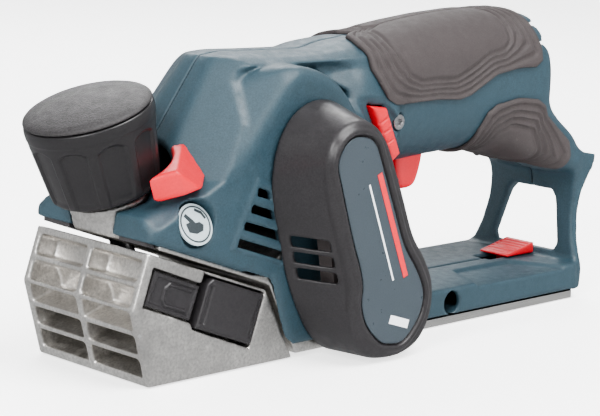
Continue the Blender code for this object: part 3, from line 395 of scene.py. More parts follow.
def housing_field(X, Y, Z):
    A = np.abs(Y)
    outer = outer_form(X, Y, Z)
    bulge = smax(np.sqrt((X - 90) ** 2 + (Z - 22.2) ** 2) - 15.5 + np.maximum(Y - 33, 0) * 0.4,
                 slab(Y, 20, 37.6), 3.0)
    outer = smin(outer, bulge, 3.0)
    # shallow seats are pressed into the form before it is hollowed
    lock_recess = [(100, 91.5), (113.5, 91), (125.5, 76), (124.5, 62), (115.5, 61), (103, 82)]
    outer = cut(outer, smax(poly(X, Z, lock_recess), Y + 26.6, 1.6), 1.2)
    outer = cut(outer, rod(X, Y, Z, (18.0, -36.0, 56.8), (18.0, -27.6, 53.6), 8.0, 0.4), 0.6)
    outer = cut(outer, rod(X, Y, Z, (123.4, -40, 81.2), (123.4, -24.0, 81.2), 3.6), 0.5)
    vent_frame = [(46.0, 68.0), (33.2, 44.2), (61.4, 35.2), (53.4, 64.6)]
    outer = smin(outer, smax(smax(poly(X, Z, vent_frame), outer - 0.7, 0.8), 20 - A, 1), 0.8)
    f = np.maximum(outer, -(outer + 2.4))
    f = cut(f, smax(poly(Y, Z, SOCKET), slab(X, 210, 260), 1.0), 2.6)
    h, r = axis_coords(X, Y, Z, KB, U)
    f = cut(f, smax(r - 23.6, -1.6 - h, 0.8), 1.0)
    f = cut(f, smax(r - 15.0, slab(h, -26, -1.0), 0.5), 0.8)
    f = cut(f, block(X, Y, Z, (-12, 8), (-10.5, 10.5), (40, 66), 1.5), 1.5)
    rd = np.sqrt((X - 90) ** 2 + (Z - 22.2) ** 2)
    f = cut(f, smax(rd - 27.6, A - 30.4, 0.6), 0.6)
    f = cut(f, smax(smax(slab(X, 52, 106.5), Z - 24, 0.6), A - 30.4, 0.6), 0.6)
    floor_gap = [(42, 28), (42, 38), (60, 46), (70, 53), (106, 53), (117.8, 38), (117.8, 3), (52, -6)]
    f = cut(f, smax(poly(X, Z, floor_gap), A - 30.4, 0.6), 0.6)
    f = cut(f, block(X, Y, Z, (131.5, 160.5), (-9.2, 9.2), (50, 84), 1.4), 1.4)
    f = cut(f, block(X, Y, Z, (198, 227.4), (-9.8, 9.8), (-2, 12.2), 0.8), 0.8)
    f = cut(f, block(X, Y, Z, (210, 232), (-3.2, 5.2), (9, 17), 0.5), 0.5)
    # left side
    L = Y
    rm = np.sqrt((X - 73.5) ** 2 + (Z - 70) ** 2)
    f = cut(f, np.maximum(rd - 11.4, slab(L, -40, -20)), 0.5)
    f = cut(f, np.maximum(rm - 9.0, slab(L, -40, -20)), 0.5)
    lock_slot = [(104.8, 89.1), (114.2, 88.0), (123.1, 69.6), (117.6, 66.0)]
    f = cut(f, smax(poly(X, Z, lock_slot), L + 16, 1.0), 0.6)
    f = cut(f, smax(np.sqrt((X - 155) ** 2 + (Z - 8.5) ** 2) - 4.5, L + 17.9, 0.4), 0.6)
    pocket = smax(smax(slab(X, 168, 228) + (L + 34) * 0.5, 13.0 - Z, 1.0), L + 9, 1.0)
    f = cut(f, smax(pocket, Z - 30, 1.0), 1.0)
    air = [(83.1, 103.4), (87.3, 102.2), (98.6, 93.8), (98.0, 91.4), (95.4, 91.4), (90.6, 95.7)]
    f = cut(f, smax(smax(poly(X, Z, air), 15 - A, 0.6), Y, 0.6), 0.8)
    # right side
    f = cut(f, np.maximum(rd - 11.4, slab(Y, 20, 36)), 0.5)
    f = cut(f, np.maximum(np.sqrt((X - 109) ** 2 + (Z - 46.3) ** 2) - 8.4, slab(Y, 10, 50)), 0.6)
    # slanted vents inside a raised frame
    for slit in (
            [(46.4, 64.4), (51.6, 62.6), (52.1, 59.6), (45.2, 61.8)],
            [(43.4, 58.9), (53.3, 55.6), (54.6, 52.1), (42.1, 56.3)],
            [(40.1, 53.2), (56.3, 48.0), (57.1, 44.5), (39.1, 50.6)],
            [(37.3, 47.5), (59.0, 40.3), (59.7, 37.0), (36.4, 44.8)]):
        f = cut(f, smax(poly(X, Z, slit), 20 - A, 0.5), 0.6)
    return f


STEP = 0.8
LO, HI = (-5, -34.8, 0.8), (249, 40, 121)
X, Y, Z = grid_axes(LO, HI, STEP)
field = housing_field(X, Y, Z).astype(np.float32)
ycoord = Y[0, :, 0]
il = int(np.searchsorted(ycoord, 3.0))
surface("housing_shell_left", smax(field[:, :il, :], Y[:, :il, :] + 0.12, 0.9), LO, STEP, M["teal"],
        "machine", ["housing_left"])
ir = int(np.searchsorted(ycoord, -3.0))
surface("housing_shell_right", smax(field[:, ir:, :], 0.12 - Y[:, ir:, :], 0.9),
        (LO[0], float(ycoord[ir]), LO[2]), STEP, M["teal"], "machine", ["housing_right"])
del field

# ---------------------------------------------------------------- rubber grips
UP_OUT = [(128, 44), (122.5, 37), (113.5, 32.7), (110.3, 25.0), (109.9, 15.5), (112.8, 9.1), (115.3, 4.9),
          (119.5, 2.3), (132, 0.6), (148.2, -0.8), (161.6, -2.5), (167.6, -1.8), (175, 0.8),
          (184.1, 3.9), (196, 5.4), (207.3, 6.0), (211.1, 8.0), (211.6, 11.4), (210.2, 17.5),
          (208.6, 28.6), (206, 44)]
UP_IN = [(142, 44), (138, 37), (130.5, 33.2), (129.0, 20.1), (132.3, 11.6), (137.7, 8.5), (158.0, 6.6),
         (170, 9.8), (178.4, 12.6), (187.8, 13.4), (191.0, 15.6), (190.6, 20.7), (190.2, 30.3),
         (190.2, 44)]
LO_OUT = [(176.5, -44), (176.5, -25.1), (177.3, -15.0), (180.2, -9.2), (185.5, -6.4), (198, -4.6),
          (209.6, -4.4), (213.6, -5.8), (214.9, -8.5), (222, -11.4), (229.2, -13.7), (230.6, -16.5),
          (227.5, -22.2), (217.9, -27.5), (214, -44)]
LO_IN = [(190.0, -44), (190.0, -25), (191.5, -18.5), (196, -16), (206, -15.5), (210, -18.5),
         (211.0, -23), (206, -30), (204, -44)]


def grip_field(X, Y, Z, outline, centre):
    A = np.abs(Y)
    hw = np.interp(X, HANDLE[:, 0], HANDLE[:, 1])
    zt = np.interp(X, HANDLE[:, 0], HANDLE[:, 2])
    zb = np.interp(X, HANDLE[:, 0], HANDLE[:, 3])
    w = 24.0 * np.arctan2((Z - (zt + zb) / 2) / ((zt - zb) / 2), np.maximum(A, 1e-3) / hw)
    XX = X - 10.0 * np.clip(Y / 8.0, 0, 1) * np.clip((150.0 - X) / 30.0, 0, 1)
    XX = np.broadcast_to(XX, w.shape)
    region = poly(XX, w, outline)
    inside = poly(XX, w, centre)
    base = outer_form(X, Y, Z)
    t = -region / np.maximum(-region + np.maximum(inside, 0), 1e-3)
    wave = np.zeros_like(t)
    for g in (0.2, 0.4, 0.6, 0.8):
        width = 0.80 / np.maximum(-region + np.maximum(inside, 0), 6.0)
        wave = np.maximum(wave, np.clip(1.25 * np.exp(-((t - g) / width) ** 2), 0, 1))
    wave = np.where(inside > 0.3, wave, 0)
    lift = 1.75 + 0.2 * np.clip(-inside / 3, 0, 1) - 0.95 * wave
    f = smax(smax(base - lift, region, 1.2), -(base + 0.02), 0.3)
    return cut(f, np.maximum(poly(Y, Z, SOCKET) - 1.6, 204.0 - X), 0.4)


for tag, outline_pts, centre_pts, lo, hi in (
        ("upper", UP_OUT, UP_IN, (106, -28, 78), (214, 28, 121)),
        ("lower", LO_OUT, LO_IN, (172, -29, 53), (236, 29, 92))):
    st = 0.45
    X, Y, Z = grid_axes(lo, hi, st)
    gf = grip_field(X, Y, Z, outline_pts, centre_pts).astype(np.float32)
    yc = Y[0, :, 0]
    i0, i1 = int(np.searchsorted(yc, 3.0)), int(np.searchsorted(yc, -3.0))
    surface("grip_skin_%s_left" % tag, smax(gf[:, :i0, :], Y[:, :i0, :] + 0.1, 0.5), lo, st,
            M["rubber"], "machine", ["grip_%s_left" % tag])
    surface("grip_skin_%s_right" % tag, smax(gf[:, i1:, :], 0.1 - Y[:, i1:, :], 0.5),
            (lo[0], float(yc[i1]), lo[2]), st, M["rubber"], "machine",
            ["grip_%s_right" % tag])

# ------------------------------------------------------------------ belt cover
COVER = [(51.4, 66), (52.6, 76), (56.6, 84.8), (63.5, 91.2), (72.6, 94.0), (82, 92.4),
         (89.6, 87), (95, 76.5), (99.6, 61), (105, 46.5), (111.6, 36.4), (116.4, 26.4),
         (116.0, 14.4), (110.4, 5.0), (101.4, 0.9), (91.4, 0.5), (81.6, 1.9), (72.8, 8.4),
         (66.6, 17.6), (60.6, 30), (56.4, 43), (52.6, 56.5)]
COVER_FACE = [(58.8, 66), (57.6, 75), (60.2, 82.6), (65.8, 87.4), (73.4, 89.2), (80.8, 87.2),
              (86.6, 82.2), (90.8, 75.2), (97.4, 61), (104.2, 45.6), (111.4, 35.8), (116.2, 26),
              (115.8, 14.4), (110.2, 5.2), (101.4, 1.1), (91.4, 0.7), (82.2, 2.8), (75.6, 9.4),
              (72.4, 18.6), (71.6, 29), (67.2, 42), (61.6, 56)]
BADGE = [(63.5, 66), (61.2, 74), (63.6, 80.2), (69.0, 83.8), (76.0, 83.4), (80.6, 80.6),
         (83.6, 75.2), (90.6, 59.5), (98.0, 43), (105.6, 32.6), (109.6, 25.2), (110.0, 19.5),
         (107.2, 12.8), (99.6, 6.1), (91.5, 6.1), (86.1, 8.2), (79.2, 15), (76.2, 22.6),
         (76.4, 29.5), (74.6, 36.5), (70.2, 47)]
COVER_S, FACE_S, BADGE_S = (smooth_outline(p, 5) for p in (COVER, COVER_FACE, BADGE))


def cover_field(X, Y, Z):
    a, b = poly(X, Z, COVER_S), poly(X, Z, FACE_S)
    t = np.clip((-32.35 - Y) / 18.65, 0, 1)
    rim = a + (b - a) * t
    badge = poly(X, Z, BADGE_S)
    body = smax(rim + 0.15, -54.6 - Y, 4.2)
    body = smax(body, Y + 32.35, 0.5)
    ring = smax(smax(badge - 2.1, -55.3 - Y, 0.9), Y + 50, 0.4)
    body = smin(body, ring, 0.9)
    body = cut(body, smax(badge, Y + 53.9, 0.3), 0.5)
    inner = smax(rim + 2.2, -51.6 - Y, 3.0)
    body = np.maximum(body, -inner)
    for z0, z1 in ((43.0, 46.8), (37.2, 41.0), (31.4, 35.2)):
        body = cut(body, smax(smax(slab(Z + (X - 60) * 0.10, z0, z1), X - 82, 0.5),
                              slab(Y, -48.6, -35.6), 1.0), 0.7)
    return body


sampled("belt_cover_shell", cover_field, (49.5, -56.5, -1), (118.5, -31.3, 96), 0.6,
        M["black"], "machine", ["belt_cover"])


def badge_field(X, Y, Z):
    badge = poly(X, Z, BADGE_S) + 0.55
    f = smax(smax(badge, -54.75 - Y, 0.7), Y + 54.05, 0.2)
    return f


sampled("badge_inlay", badge_field, (59.07, -55.37, 4.06), (112, -53.5, 86), 0.35,
        M["badge"], "machine", ["badge_plate"])

# ------------------------------------------------------------------ front shoe
def shoe_top(x):
    return 46.5 - (x + 1.7) * 0.355


SHOE_SIDE = [(0, 0), (-7.9, 27.5), (-1.7, 46.5), (53.5, shoe_top(53.5)), (68.0, 0)]


def face_cell(X, A, Z, top, bottom, s0, s1, depth, y0, y1, k=1.6):
    t = (np.array(bottom) - np.array(top)) / np.linalg.norm(np.array(bottom) - np.array(top))
    n = np.array([-t[1], t[0]])
    if n[0] < 0:
        n = -n
    s = (X - top[0]) * t[0] + (Z - top[1]) * t[1]
    q = (X - top[0]) * n[0] + (Z - top[1]) * n[1]
    draft = np.clip(q, 0, 20) * 0.035
    return smax(smax(slab(s, s0, s1) + draft, slab(A, y0, y1) + draft, k), q - depth, 1.5)


def shoe_field(X, Y, Z):
    A = np.abs(Y)
    f = smax(poly(X, Z, SHOE_SIDE), A - 30.0, 1.1)
    for s0, s1, depth in ((2.6, 10.2, 9.0), (12.0, 19.0, 12.0)):
        f = cut(f, face_cell(X, A, Z, (-1.7, 46.5), (-7.9, 27.5), s0, s1, depth, 1.3, 27.2), 0.9)
    for s0, s1, depth in ((1.0, 8.0, 14.0), (9.8, 16.8, 16.0), (18.6, 25.6, 18.0)):
        f = cut(f, face_cell(X, A, Z, (-7.9, 27.5), (0.0, 0.0), s0, s1, depth, 1.3, 27.2), 0.9)
    # rounded boss at the head of the centre rib
    hb, rb = axis_coords(X, Y, Z, KB + np.array([-5.0, 0, 0]), U)
    boss = smax(smax(rb - 3.4, slab(hb, -32, -17), 1.0), poly(X, Z, bring_in(SHOE_SIDE, 1.0)), 0.8)
    f = smin(f, boss, 1.0)
    tray = [(0.8, 41.4), (23.5, 32.6), (19.0, 19.6), (-3.5, 28.2)]
    f = cut(f, smax(poly(X, Z, tray), Y + 27.7, 0.8), 0.9)
    key = [(24.0, 36.6), (27.1, 35.0), (52.9, 25.9), (46.2, 6.9), (19.0, 17.6), (18.0, 21)]
    f = cut(f, smax(poly(X, Z, key), Y + 18.0, 0.8), 0.9)
    h, r = axis_coords(X, Y, Z, KB, U)
    f = cut(f, smax(r - 6.9, slab(h, -35.6, 10), 0.4), 0.4)
    f = cut(f, smax(r - 4.7, slab(h, -60, 10), 0.4), 0.4)
    return f


sampled("front_shoe_casting", shoe_field, (-10, -31.4, -1.4), (70, 31.4, 48.5), 0.55,
        M["cast"], "shoe", ["front_shoe"])


def prism(pts, y, k):
    return lambda X, Y, Z: smax(poly(X, Z, pts), slab(Y, *y), k)


sampled("tray_liner", lambda X, Y, Z: cut(
    prism([(2.0, 40.2), (22.6, 32.2), (18.2, 20.4), (-2.2, 28.6)], (-29.0, -28.0), 0.4)(X, Y, Z),
    smax(smax(poly(X, Z, [(3.6, 37.8), (20.8, 31.2), (17.5, 22.2), (-0.2, 29.4)]), Y + 28.4, 0.3),
         0.55 - polyline(X, Z, [(18.4, 31.0), (9.5, 34.4), (7.2, 33.2), (6.0, 29.6), (7.0, 27.6), (16.0, 24.2)]),
         0.2), 0.3),
    (-3.5, -29.6, 19), (24, -27.5, 41.5), 0.3, M["black"], "shoe", ["tray_insert"])


def key_field(X, Y, Z):
    f = smax(poly(X, Z, [(27.4, 34.4), (52.0, 25.6), (45.9, 8.1), (19.8, 17.9), (25.0, 33.0)]),
             slab(Y, -31.0, -18.5), 1.4)
    f = cut(f, smax(poly(X, Z, [(49.6, 24.6), (51.6, 24.0), (46.6, 10.6), (44.6, 11.4)]), Y + 30.3, 0.2), 0.3)
    f = cut(f, smax(poly(X, Z, [(21.5, 19.6), (23.5, 18.8), (28.0, 31.6), (26.4, 32.4)]), Y + 30.2, 0.2), 0.4)
    return f


sampled("key_drawer_block", key_field, (18, -31.8, 6), (54, -17.8, 37), 0.4, M["black"], "key_drawer",
        ["key_holder"])

# ------------------------------------------------------------ cutter casting
BAND = 2.2


def casting_field(X, Y, Z):
    A = np.abs(Y)
    prof = [(3.0, shoe_top(3.0) + BAND), (53.6, shoe_top(53.6) + BAND), (55.4, 28.0), (69.6, 1.2),
            (102.2, 1.2), (102.2, 3.5), (111.4, 3.5), (117.2, 22), (114.4, 34), (106, 45), (94, 49.4),
            (79, 49.0), (65.4, 44.0), (58, 37.0), (52.0, shoe_top(46) + BAND + 1.0),
            (46.0, shoe_top(46) + BAND + 1.75), (3.0, shoe_top(3) + BAND + 1.75)]
    f = smax(poly(X, Z, prof), A - 30.0, 0.5)
    h, r = axis_coords(X, Y, Z, KB, U)
    groove = 0.35 * np.exp(-((h + 6.0) / 0.45) ** 2) + 0.35 * np.exp(-((h + 10.5) / 0.45) ** 2)
    boss = smax(r - 14.4 + groove, slab(h, -26, -1.5), 0.6)
    boss = smax(boss, (shoe_top(0) + BAND) - (Z + X * 0.355), 0.4)
    f = smin(f, boss, 0.8)
    rd = np.sqrt((X - 90) ** 2 + (Z - 22.2) ** 2)
    f = smin(f, smax(rd - 11.0, slab(A, 28.35, 35.0), 0.5), 0.5)
    f = cut(f, smax(rd - 23.4, A - 28.3, 0.4), 0.4)
    f = cut(f, smax(poly(X, Z, [(72.6, -5), (69.8, 14), (107, 14), (102.6, -5)]), A - 28.3, 0.4), 0.4)
    f = cut(f, np.maximum(rd - 8.35, A - 40), 0.3)
    f = cut(f, smax(r - 4.7, slab(h, -60, 5), 0.3), 0.3)
    f = cut(f, np.maximum(np.sqrt((X - 109) ** 2 + (Z - 46.3) ** 2) - 8.45, slab(Y, 12, 33)), 0.3)
    return cut(f, block(X, Y, Z, (98, 113), (8, 28), (38, 52), 0.4), 0.3)


sampled("cutter_casting", casting_field, (-12, -36, 0), (119, 36, 63.5), 0.8,
        M["cast"], "machine", ["gear_casting"])

# ---------------------------------------------------------------- red controls
def trigger_field(X, Y, Z):
    pts = smooth_outline([(142, 64), (143.2, 56), (145.4, 51.6), (149, 50.4), (153.6, 51.0),
                          (156.2, 53.6), (158.4, 60), (159.2, 66), (158.6, 77.6), (137.4, 77.6),
                          (134.6, 72), (134.2, 66.5)], 4)
    f = smax(poly(X, Z, pts) + 0.1, slab(Y, -8.6, 8.6), 3.4)
    return f


sampled("trigger_lever", trigger_field, (132.5, -9.6, 49), (161, 9.6, 79), 0.45, M["red"],
        "trigger_body", ["trigger"])


def lock_field(X, Y, Z):
    f = smax(poly(X, Z, [(105.2, 88.7), (113.9, 87.6), (122.6, 69.7), (117.9, 66.5)]) + 0.05,
             slab(Y, -29.2, -17.0), 2.2)
    for s in (-1, 0, 1):
        x0, z0 = 113.6 + s * 1.9, 78.6 - s * 4.0
        f = cut(f, smax(np.abs((X - x0) * 0.43 - (Z - z0) * 0.90) - 0.45, Y + 28.6, 0.2), 0.4)
    return f


sampled("lock_off_bar", lock_field, (103.5, -30, 65), (124.5, -16, 90.5), 0.35, M["red"],
        "lock_off_body", ["lock_off_button"])


def pointer_field(X, Y, Z):
    p = KB + U * 3.6
    a, b, c = X - p[0], Y, Z - p[2]
    e = a * COS + c * SIN
    h = a * U[0] + c * U[2]
    pts = [(24.2 * math.cos(math.radians(q)), -24.2 * math.sin(math.radians(q))) for q in range(14, 92, 7)]
    pts = pts + [(1.0, -26.2), (8.0, -31.0), (17.0, -33.6), (25.0, -32.2), (29.4, -27.0),
                 (30.5, -19.0), (29.6, -6.0)]
    e2, b2 = np.broadcast_arrays(e, b)
    f = smax(poly(e2, b2, pts), np.abs(h) - 4.8, 2.2)
    chamfer = (e2 * 0.55 - b2 * 0.62 + h * 0.56) - 25.6
    f = smax(f, chamfer, 0.8)
    house = outer_form(X, Y, Z)
    return np.maximum(f, -(house - 0.3))


sampled("depth_pointer_wedge", pointer_field, (1, -36, 50), (42, -3, 84), 0.4, M["red"], "machine",
        ["depth_pointer"])


def park_slide_field(X, Y, Z):
    f = smax(poly(X, Z, [(217.6, 14.75), (217.6, 15.6), (235.0, 19.2), (235.2, 14.75)]),
             slab(Y, -6.6, 8.6), 0.7)
    f = smin(f, block(X, Y, Z, (223, 229), (-2.0, 4.0), (10.9, 15.6), 0.4), 0.3)
    for i in range(6):
        x = 219.8 + i * 2.5
        f = cut(f, smax(smax(np.abs(X - x) - 0.55, slab(Y, -5.6, 7.6), 0.4),
                        15.3 + (x - 217.6) * 0.195 - Z, 0.3), 0.4)
    return f


sampled("park_lock_thumb", park_slide_field, (216, -8, 10), (237, 10, 20.5), 0.35, M["red"],
        "park_slide", ["park_lock"])

# ---------------------------------------------------------------------- knob
def turned_grid(name, radius_fn, hs, n, material, body, nodes, close=True):
    """Dense ring mesh about the depth axis: radius_fn(angle array, height) -> radii."""
    e1, e2 = np.array([COS, 0, SIN]), np.array([0.0, 1.0, 0.0])
    th = np.arange(n) * (2 * math.pi / n)
    v = []
    for h in hs:
        r = radius_fn(th, h)
        v.append(KB + U * h + np.outer(r * np.cos(th), e1) + np.outer(r * np.sin(th), e2))
    v = np.concatenate(v)
    quads = []
    idx = np.arange(n)
    for i in range(len(hs) - 1):
        a, b = i * n + idx, i * n + (idx + 1) % n
        quads.append(np.stack([a, b, b + n, a + n], 1))
    quads = np.concatenate(quads)
    m = len(v)
    top = (len(hs) - 1) * n
    v = np.vstack([v, KB + U * hs[0], KB + U * hs[-1]])
    tris = np.concatenate([np.stack([(idx + 1) % n, idx, np.full(n, m)], 1),
                           np.stack([top + idx, top + (idx + 1) % n, np.full(n, m + 1)], 1)])
    return finish_mesh(name, v, quads, tris, material, body, nodes)


def knob_radius(th, h):
    hs = [0.0, 0.25, 0.7, 1.5, 4.0, 12.0, 20.0, 24.6, 25.4, 27.8, 29.0, 29.35, 29.5]
    rs = [16.9, 17.9, 18.7, 19.35, 19.9, 20.9, 21.9, 22.35, 22.6, 22.7, 22.45, 22.1, 21.6]
    r0 = float(np.interp(h, hs, rs))
    ph = ((th / (2 * math.pi) * 10 - 0.35) % 1.0 - 0.5) * 2
    arc_top = 23.4 - 3.2 * ph ** 2
    edge = np.clip((0.80 - np.abs(ph)) / 0.16, 0, 1)
    top = np.clip((arc_top - h) / 1.1, 0, 1)
    low = float(np.clip((h - 0.2) / 2.5, 0, 1))
    edge, top = edge * edge * (3 - 2 * edge), top * top * (3 - 2 * top)
    depth = (1.05 - 0.45 * ph ** 2) * edge * top * low
    return r0 - depth


KH = np.concatenate([[0, 0.12, 0.3, 0.6, 1.0], np.linspace(1.5, 18, 26), np.linspace(18.4, 26, 36),
                     [26.6, 27.4, 28.2, 28.7, 29.0, 29.2, 29.35, 29.45, 29.5]])
turned_grid("knob_body", knob_radius, KH, 360, M["knob"], "knob", ["depth_knob"])


def cap_profile(h):
    hs = [29.85, 30.0, 30.3, 30.8, 31.4, 32.2, 33.1, 34.0, 34.7, 35.1, 35.3, 35.38]
    rs = [21.9, 22.3, 22.45, 22.2, 21.5, 19.7, 16.8, 12.9, 8.6, 5.0, 2.4, 0.8]
    return float(np.interp(h, hs, rs))


CH = np.concatenate([np.linspace(29.85, 31.4, 12), np.linspace(31.6, 35.38, 30)])
turned_grid("knob_top_cap", lambda th, h: np.full(len(th), cap_profile(h)), CH, 160, M["cap"], "knob",
            ["knob_cap"])

# -------------------------------------------------------------- disc and marks
def tilted_frame(p, n):
    n = Vector(n).normalized()
    x = Vector((1, 0, 0)) - n * n.x
    x.normalize()
    y = n.cross(x)
    m = Matrix((( x.x, y.x, n.x, 0), (x.y, y.y, n.y, 0), (x.z, y.z, n.z, 0), (0, 0, 0, 1)))
    m.translation = world(p)
    return m


def flat_plate(name, loops, m, thick, material, body, bevel=0.0, nodes=()):
    """Thin plate from 2D loops in a local plane, built through a filled curve."""
    cu = bpy.data.curves.new(name, 'CURVE')
    cu.dimensions = '2D'
    cu.fill_mode = 'BOTH'
    cu.extrude = thick / 2 * MM
    cu.bevel_depth = bevel * MM
    cu.bevel_resolution = 2
    for loop in loops:
        sp = cu.splines.new('POLY')
        sp.points.add(len(loop) - 1)
        for pt, (a, b) in zip(sp.points, loop):
            pt.co = (a * MM, b * MM, 0, 1)
        sp.use_cyclic_u = True
    tmp = bpy.data.objects.new(name + "_c", cu)
    tmp.matrix_world = m
    bpy.context.scene.collection.objects.link(tmp)
    bpy.context.view_layer.update()
    me = bpy.data.meshes.new_from_object(tmp.evaluated_get(bpy.context.evaluated_depsgraph_get()))
    me.transform(tmp.matrix_world)
    bpy.data.objects.remove(tmp, do_unlink=True)
    bm = bmesh.new()
    bm.from_mesh(me)
    bmesh.ops.remove_doubles(bm, verts=bm.verts, dist=1e-6)
    bmesh.ops.recalc_face_normals(bm, faces=bm.faces[:])
    bm.to_mesh(me)
    bm.free()
    me.materials.clear()
    me.materials.append(material)
    ob = bpy.data.objects.new(name, me)
    bpy.context.scene.collection.objects.link(ob)
    me.polygons.foreach_set("use_smooth", [True] * len(me.polygons))
    me.set_sharp_from_angle(angle=math.radians(35))
    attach(ob, body)
    if nodes:
        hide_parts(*nodes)
    return ob


def ring(cx, cy, r, n=48):
    return [(cx + r * math.cos(math.tau * i / n), cy + r * math.sin(math.tau * i / n)) for i in range(n)]


DN = Vector((0, -4.4, 2.2)).normalized()
DP = Vector((18.0, -29.9, 54.1))
flat_plate("setting_disc_face", [ring(0, 0, 7.3)], tilted_frame(DP + DN * 0.45, DN), 0.7, M["disc"],
           "machine", 0.12, ["setting_disc"])
dm = tilted_frame(DP + DN * 0.98, DN)
flat_plate("disc_mark_ring", [ring(0, 0, 6.5), ring(0, 0, 6.0)], dm, 0.08, M["ink"], "machine")
hand = [(-3.6, -2.6), (-0.4, -3.4), (2.6, -2.6), (3.4, -0.6), (2.0, 0.6), (0.2, 0.4), (-0.6, 1.4),
        (-3.2, 4.0), (-4.2, 3.2), (-2.4, 0.9), (-4.2, 0.4)]
flat_plate("disc_mark_grip", [hand], dm, 0.08, M["ink"], "machine")
flat_plate("disc_mark_turn", [[(1.0, 4.6), (3.4, 3.4), (4.6, 1.4), (5.4, 1.8), (4.0, 4.2), (1.4, 5.5)]],
           dm, 0.08, M["ink"], "machine")


def badge_frame(y=-54.86):
    return Matrix(((1, 0, 0, 0), (0, 0, -1, 0), (0, 1, 0, 0), (0, 0, 0, 1))).copy(), y


bm_, by_ = badge_frame()
bm_.translation = world((0, by_, 0))


def bar(p, q, w):
    p, q = Vector(p), Vector(q)
    t = (q - p).normalized()
    n = Vector((-t.y, t.x)) * w / 2
    return [tuple(p + n), tuple(p - n), tuple(q - n), tuple(q + n)]


# plain decoration in place of any lettering: one long pale line, one red bar, a short pale foot bar
flat_plate("badge_line", [bar((77.6, 66.0), (92.4, 30.0), 0.8)], bm_, 0.10, M["print"], "machine")
flat_plate("badge_bar", [bar((82.6, 69.5), (99.0, 30.6), 2.4)], bm_, 0.10, M["red"], "machine")
flat_plate("badge_foot", [bar((91.6, 15.8), (101.6, 12.6), 3.2)], bm_, 0.10, M["print"], "machine")


# ------------------------------------------------------------------- fasteners
def screw_field(p, n, r=3.0):
    n = np.array(n, float) / np.linalg.norm(n)

    def fn(X, Y, Z):
        h, q = axis_coords(X, Y, Z, p, n)
        f = smax(q - r, slab(h, -1.6, 0.9), 0.6)
        e1 = np.array([1.0, 0, 0]) - n * n[0]
        e1 = e1 / np.linalg.norm(e1)
        e2 = np.cross(n, e1)
        a = (X - p[0]) * e1[0] + (Y - p[1]) * e1[1] + (Z - p[2]) * e1[2]
        b = (X - p[0]) * e2[0] + (Y - p[1]) * e2[1] + (Z - p[2]) * e2[2]
        ang = np.arctan2(b, a)
        lobe = r * (0.46 + 0.075 * np.cos(6 * ang))
        return cut(f, np.maximum(np.sqrt(a * a + b * b) - lobe, -0.5 - h), 0.15)
    return fn


for nm, p in (("housing_screw_1", (123.4, -25.6, 81.2)),):
    sampled(nm + "_head", screw_field(p, (0, -1, 0)), tuple(np.array(p) - 3.8), tuple(np.array(p) + 3.8),
            0.16, M["steel"], "machine", [nm])

# ------------------------------------------------------- carried-over CAD nodes
KEEP = {
    "shoe_guide_left": "black", "shoe_guide_right": "black", "rear_sole": "milled", "park_foot": "black",
    "park_pin": "steel", "spindle_nut": "brass", "guide_nut": "brass", "depth_spindle": "steel",
    "click_ring": "steel", "cutter_drum": "milled", "cutter_blade": "steel", "blade_clamp": "steel",
    "clamp_screw_1": "dark", "clamp_screw_2": "dark", "clamp_screw_3": "dark", "drum_shaft": "steel",
    "drum_bearing_left": "steel", "drum_bearing_right": "steel", "drum_pulley": "dark",
    "motor_pulley": "dark", "drive_belt": "rubber", "motor_can": "dark", "motor_end_bell": "black",
    "motor_core": "copper", "motor_shaft": "steel", "cooling_fan": "black",
    "motor_bearing_left": "steel", "motor_bearing_right": "steel", "switch_module": "black",
    "control_board": "board", "battery_contacts": "black", "chip_duct": "black",
}
for node, key in KEEP.items():
    ob = frame["nodes"][node]
    ob.data.materials.clear()
    ob.data.materials.append(M[key])

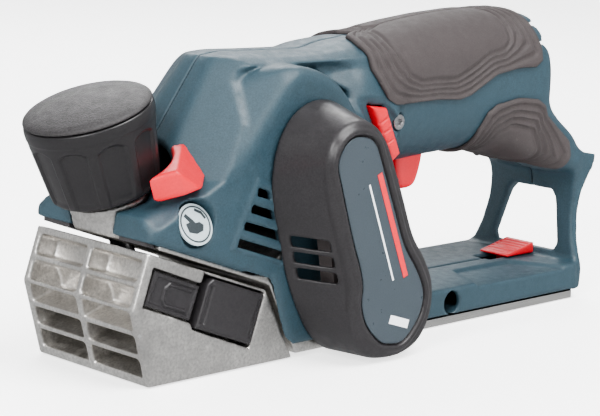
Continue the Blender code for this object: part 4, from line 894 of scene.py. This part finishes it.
# ------------------------------------------------------------- floor and light
def stage_bowl():
    bm = bmesh.new()
    prof = [(0.001, 0.0), (0.6, 0.0), (1.4, 0.0), (2.2, 0.0)]
    for i in range(1, 13):
        a = math.pi / 2 * i / 12
        prof.append((2.2 + 1.2 * math.sin(a), 1.2 * (1 - math.cos(a))))
    prof.append((3.4, 2.4))
    n = 96
    rows = [[bm.verts.new((r * math.cos(math.tau * j / n), r * math.sin(math.tau * j / n), z - 0.0004))
             for j in range(n)] for r, z in prof]
    for a, b in zip(rows, rows[1:]):
        for j in range(n):
            bm.faces.new((a[j], b[j], b[(j + 1) % n], a[(j + 1) % n]))
    bm.faces.new(rows[0])
    bmesh.ops.recalc_face_normals(bm, faces=bm.faces[:])
    me = bpy.data.meshes.new("floor")
    bm.to_mesh(me)
    bm.free()
    me.polygons.foreach_set("use_smooth", [True] * len(me.polygons))
    ob = bpy.data.objects.new("floor", me)
    bpy.context.scene.collection.objects.link(ob)
    fm = new_material("pale_floor", (0.84, 0.84, 0.84), 0.6, var=0.01, scale=40, bump=0.02,
                      blotch=0.0, rvar=0.04)
    shader = fm.node_tree.nodes["Principled BSDF"]
    shader.inputs["Emission Color"].default_value = (1.0, 1.0, 1.0, 1.0)
    shader.inputs["Emission Strength"].default_value = 0.98
    me.materials.append(fm)
    ob.visible_glossy = False


stage_bowl()


def area(name, loc, target, size, energy, colour=(1, 1, 1)):
    li = bpy.data.lights.new(name, 'AREA')
    li.shape = 'RECTANGLE'
    li.size, li.size_y = size
    li.energy = energy
    li.color = colour
    ob = bpy.data.objects.new(name, li)
    ob.location = loc
    ob.rotation_euler = (Vector(target) - Vector(loc)).to_track_quat('-Z', 'Y').to_euler()
    bpy.context.scene.collection.objects.link(ob)


area("key", (0.05, -0.5, 1.15), (0, 0, 0.05), (0.7, 0.7), 18)
area("front", (-1.15, -0.45, 0.85), (-0.08, 0, 0.05), (0.35, 0.5), 9)
area("back", (0.5, 0.9, 0.9), (0, 0, 0.06), (1.0, 0.4), 9)
w = bpy.data.worlds.new("studio")
bpy.context.scene.world = w
w.use_nodes = True
w.node_tree.nodes["Background"].inputs["Color"].default_value = (0.97, 0.985, 1.0, 1)
w.node_tree.nodes["Background"].inputs["Strength"].default_value = 0.42

view = bpy.context.scene.view_settings
view.view_transform = 'AgX'
view.look = 'AgX - Medium High Contrast'
view.exposure = 0.35

# -------------------------------------------------------------------- camera
cam = bpy.data.cameras.new("camera")
cam.lens = 120.0
cam.sensor_width = 36.0
cam.clip_start = 0.01
cob = bpy.data.objects.new("camera", cam)
bpy.context.scene.collection.objects.link(cob)
a, e, r = math.radians(-45.479), math.radians(10.476), math.radians(2.352)
back = Vector((math.sin(a) * math.cos(e), -math.cos(a) * math.cos(e), math.sin(e)))
right = (-back).cross(Vector((0, 0, 1))).normalized()
up = right.cross(-back)
r2 = right * math.cos(r) + up * math.sin(r)
u2 = -right * math.sin(r) + up * math.cos(r)
cob.matrix_world = Matrix(((r2.x, u2.x, back.x, -0.579603), (r2.y, u2.y, back.y, -0.520011),
                           (r2.z, u2.z, back.z, 0.183998), (0, 0, 0, 1)))
bpy.context.scene.camera = cob
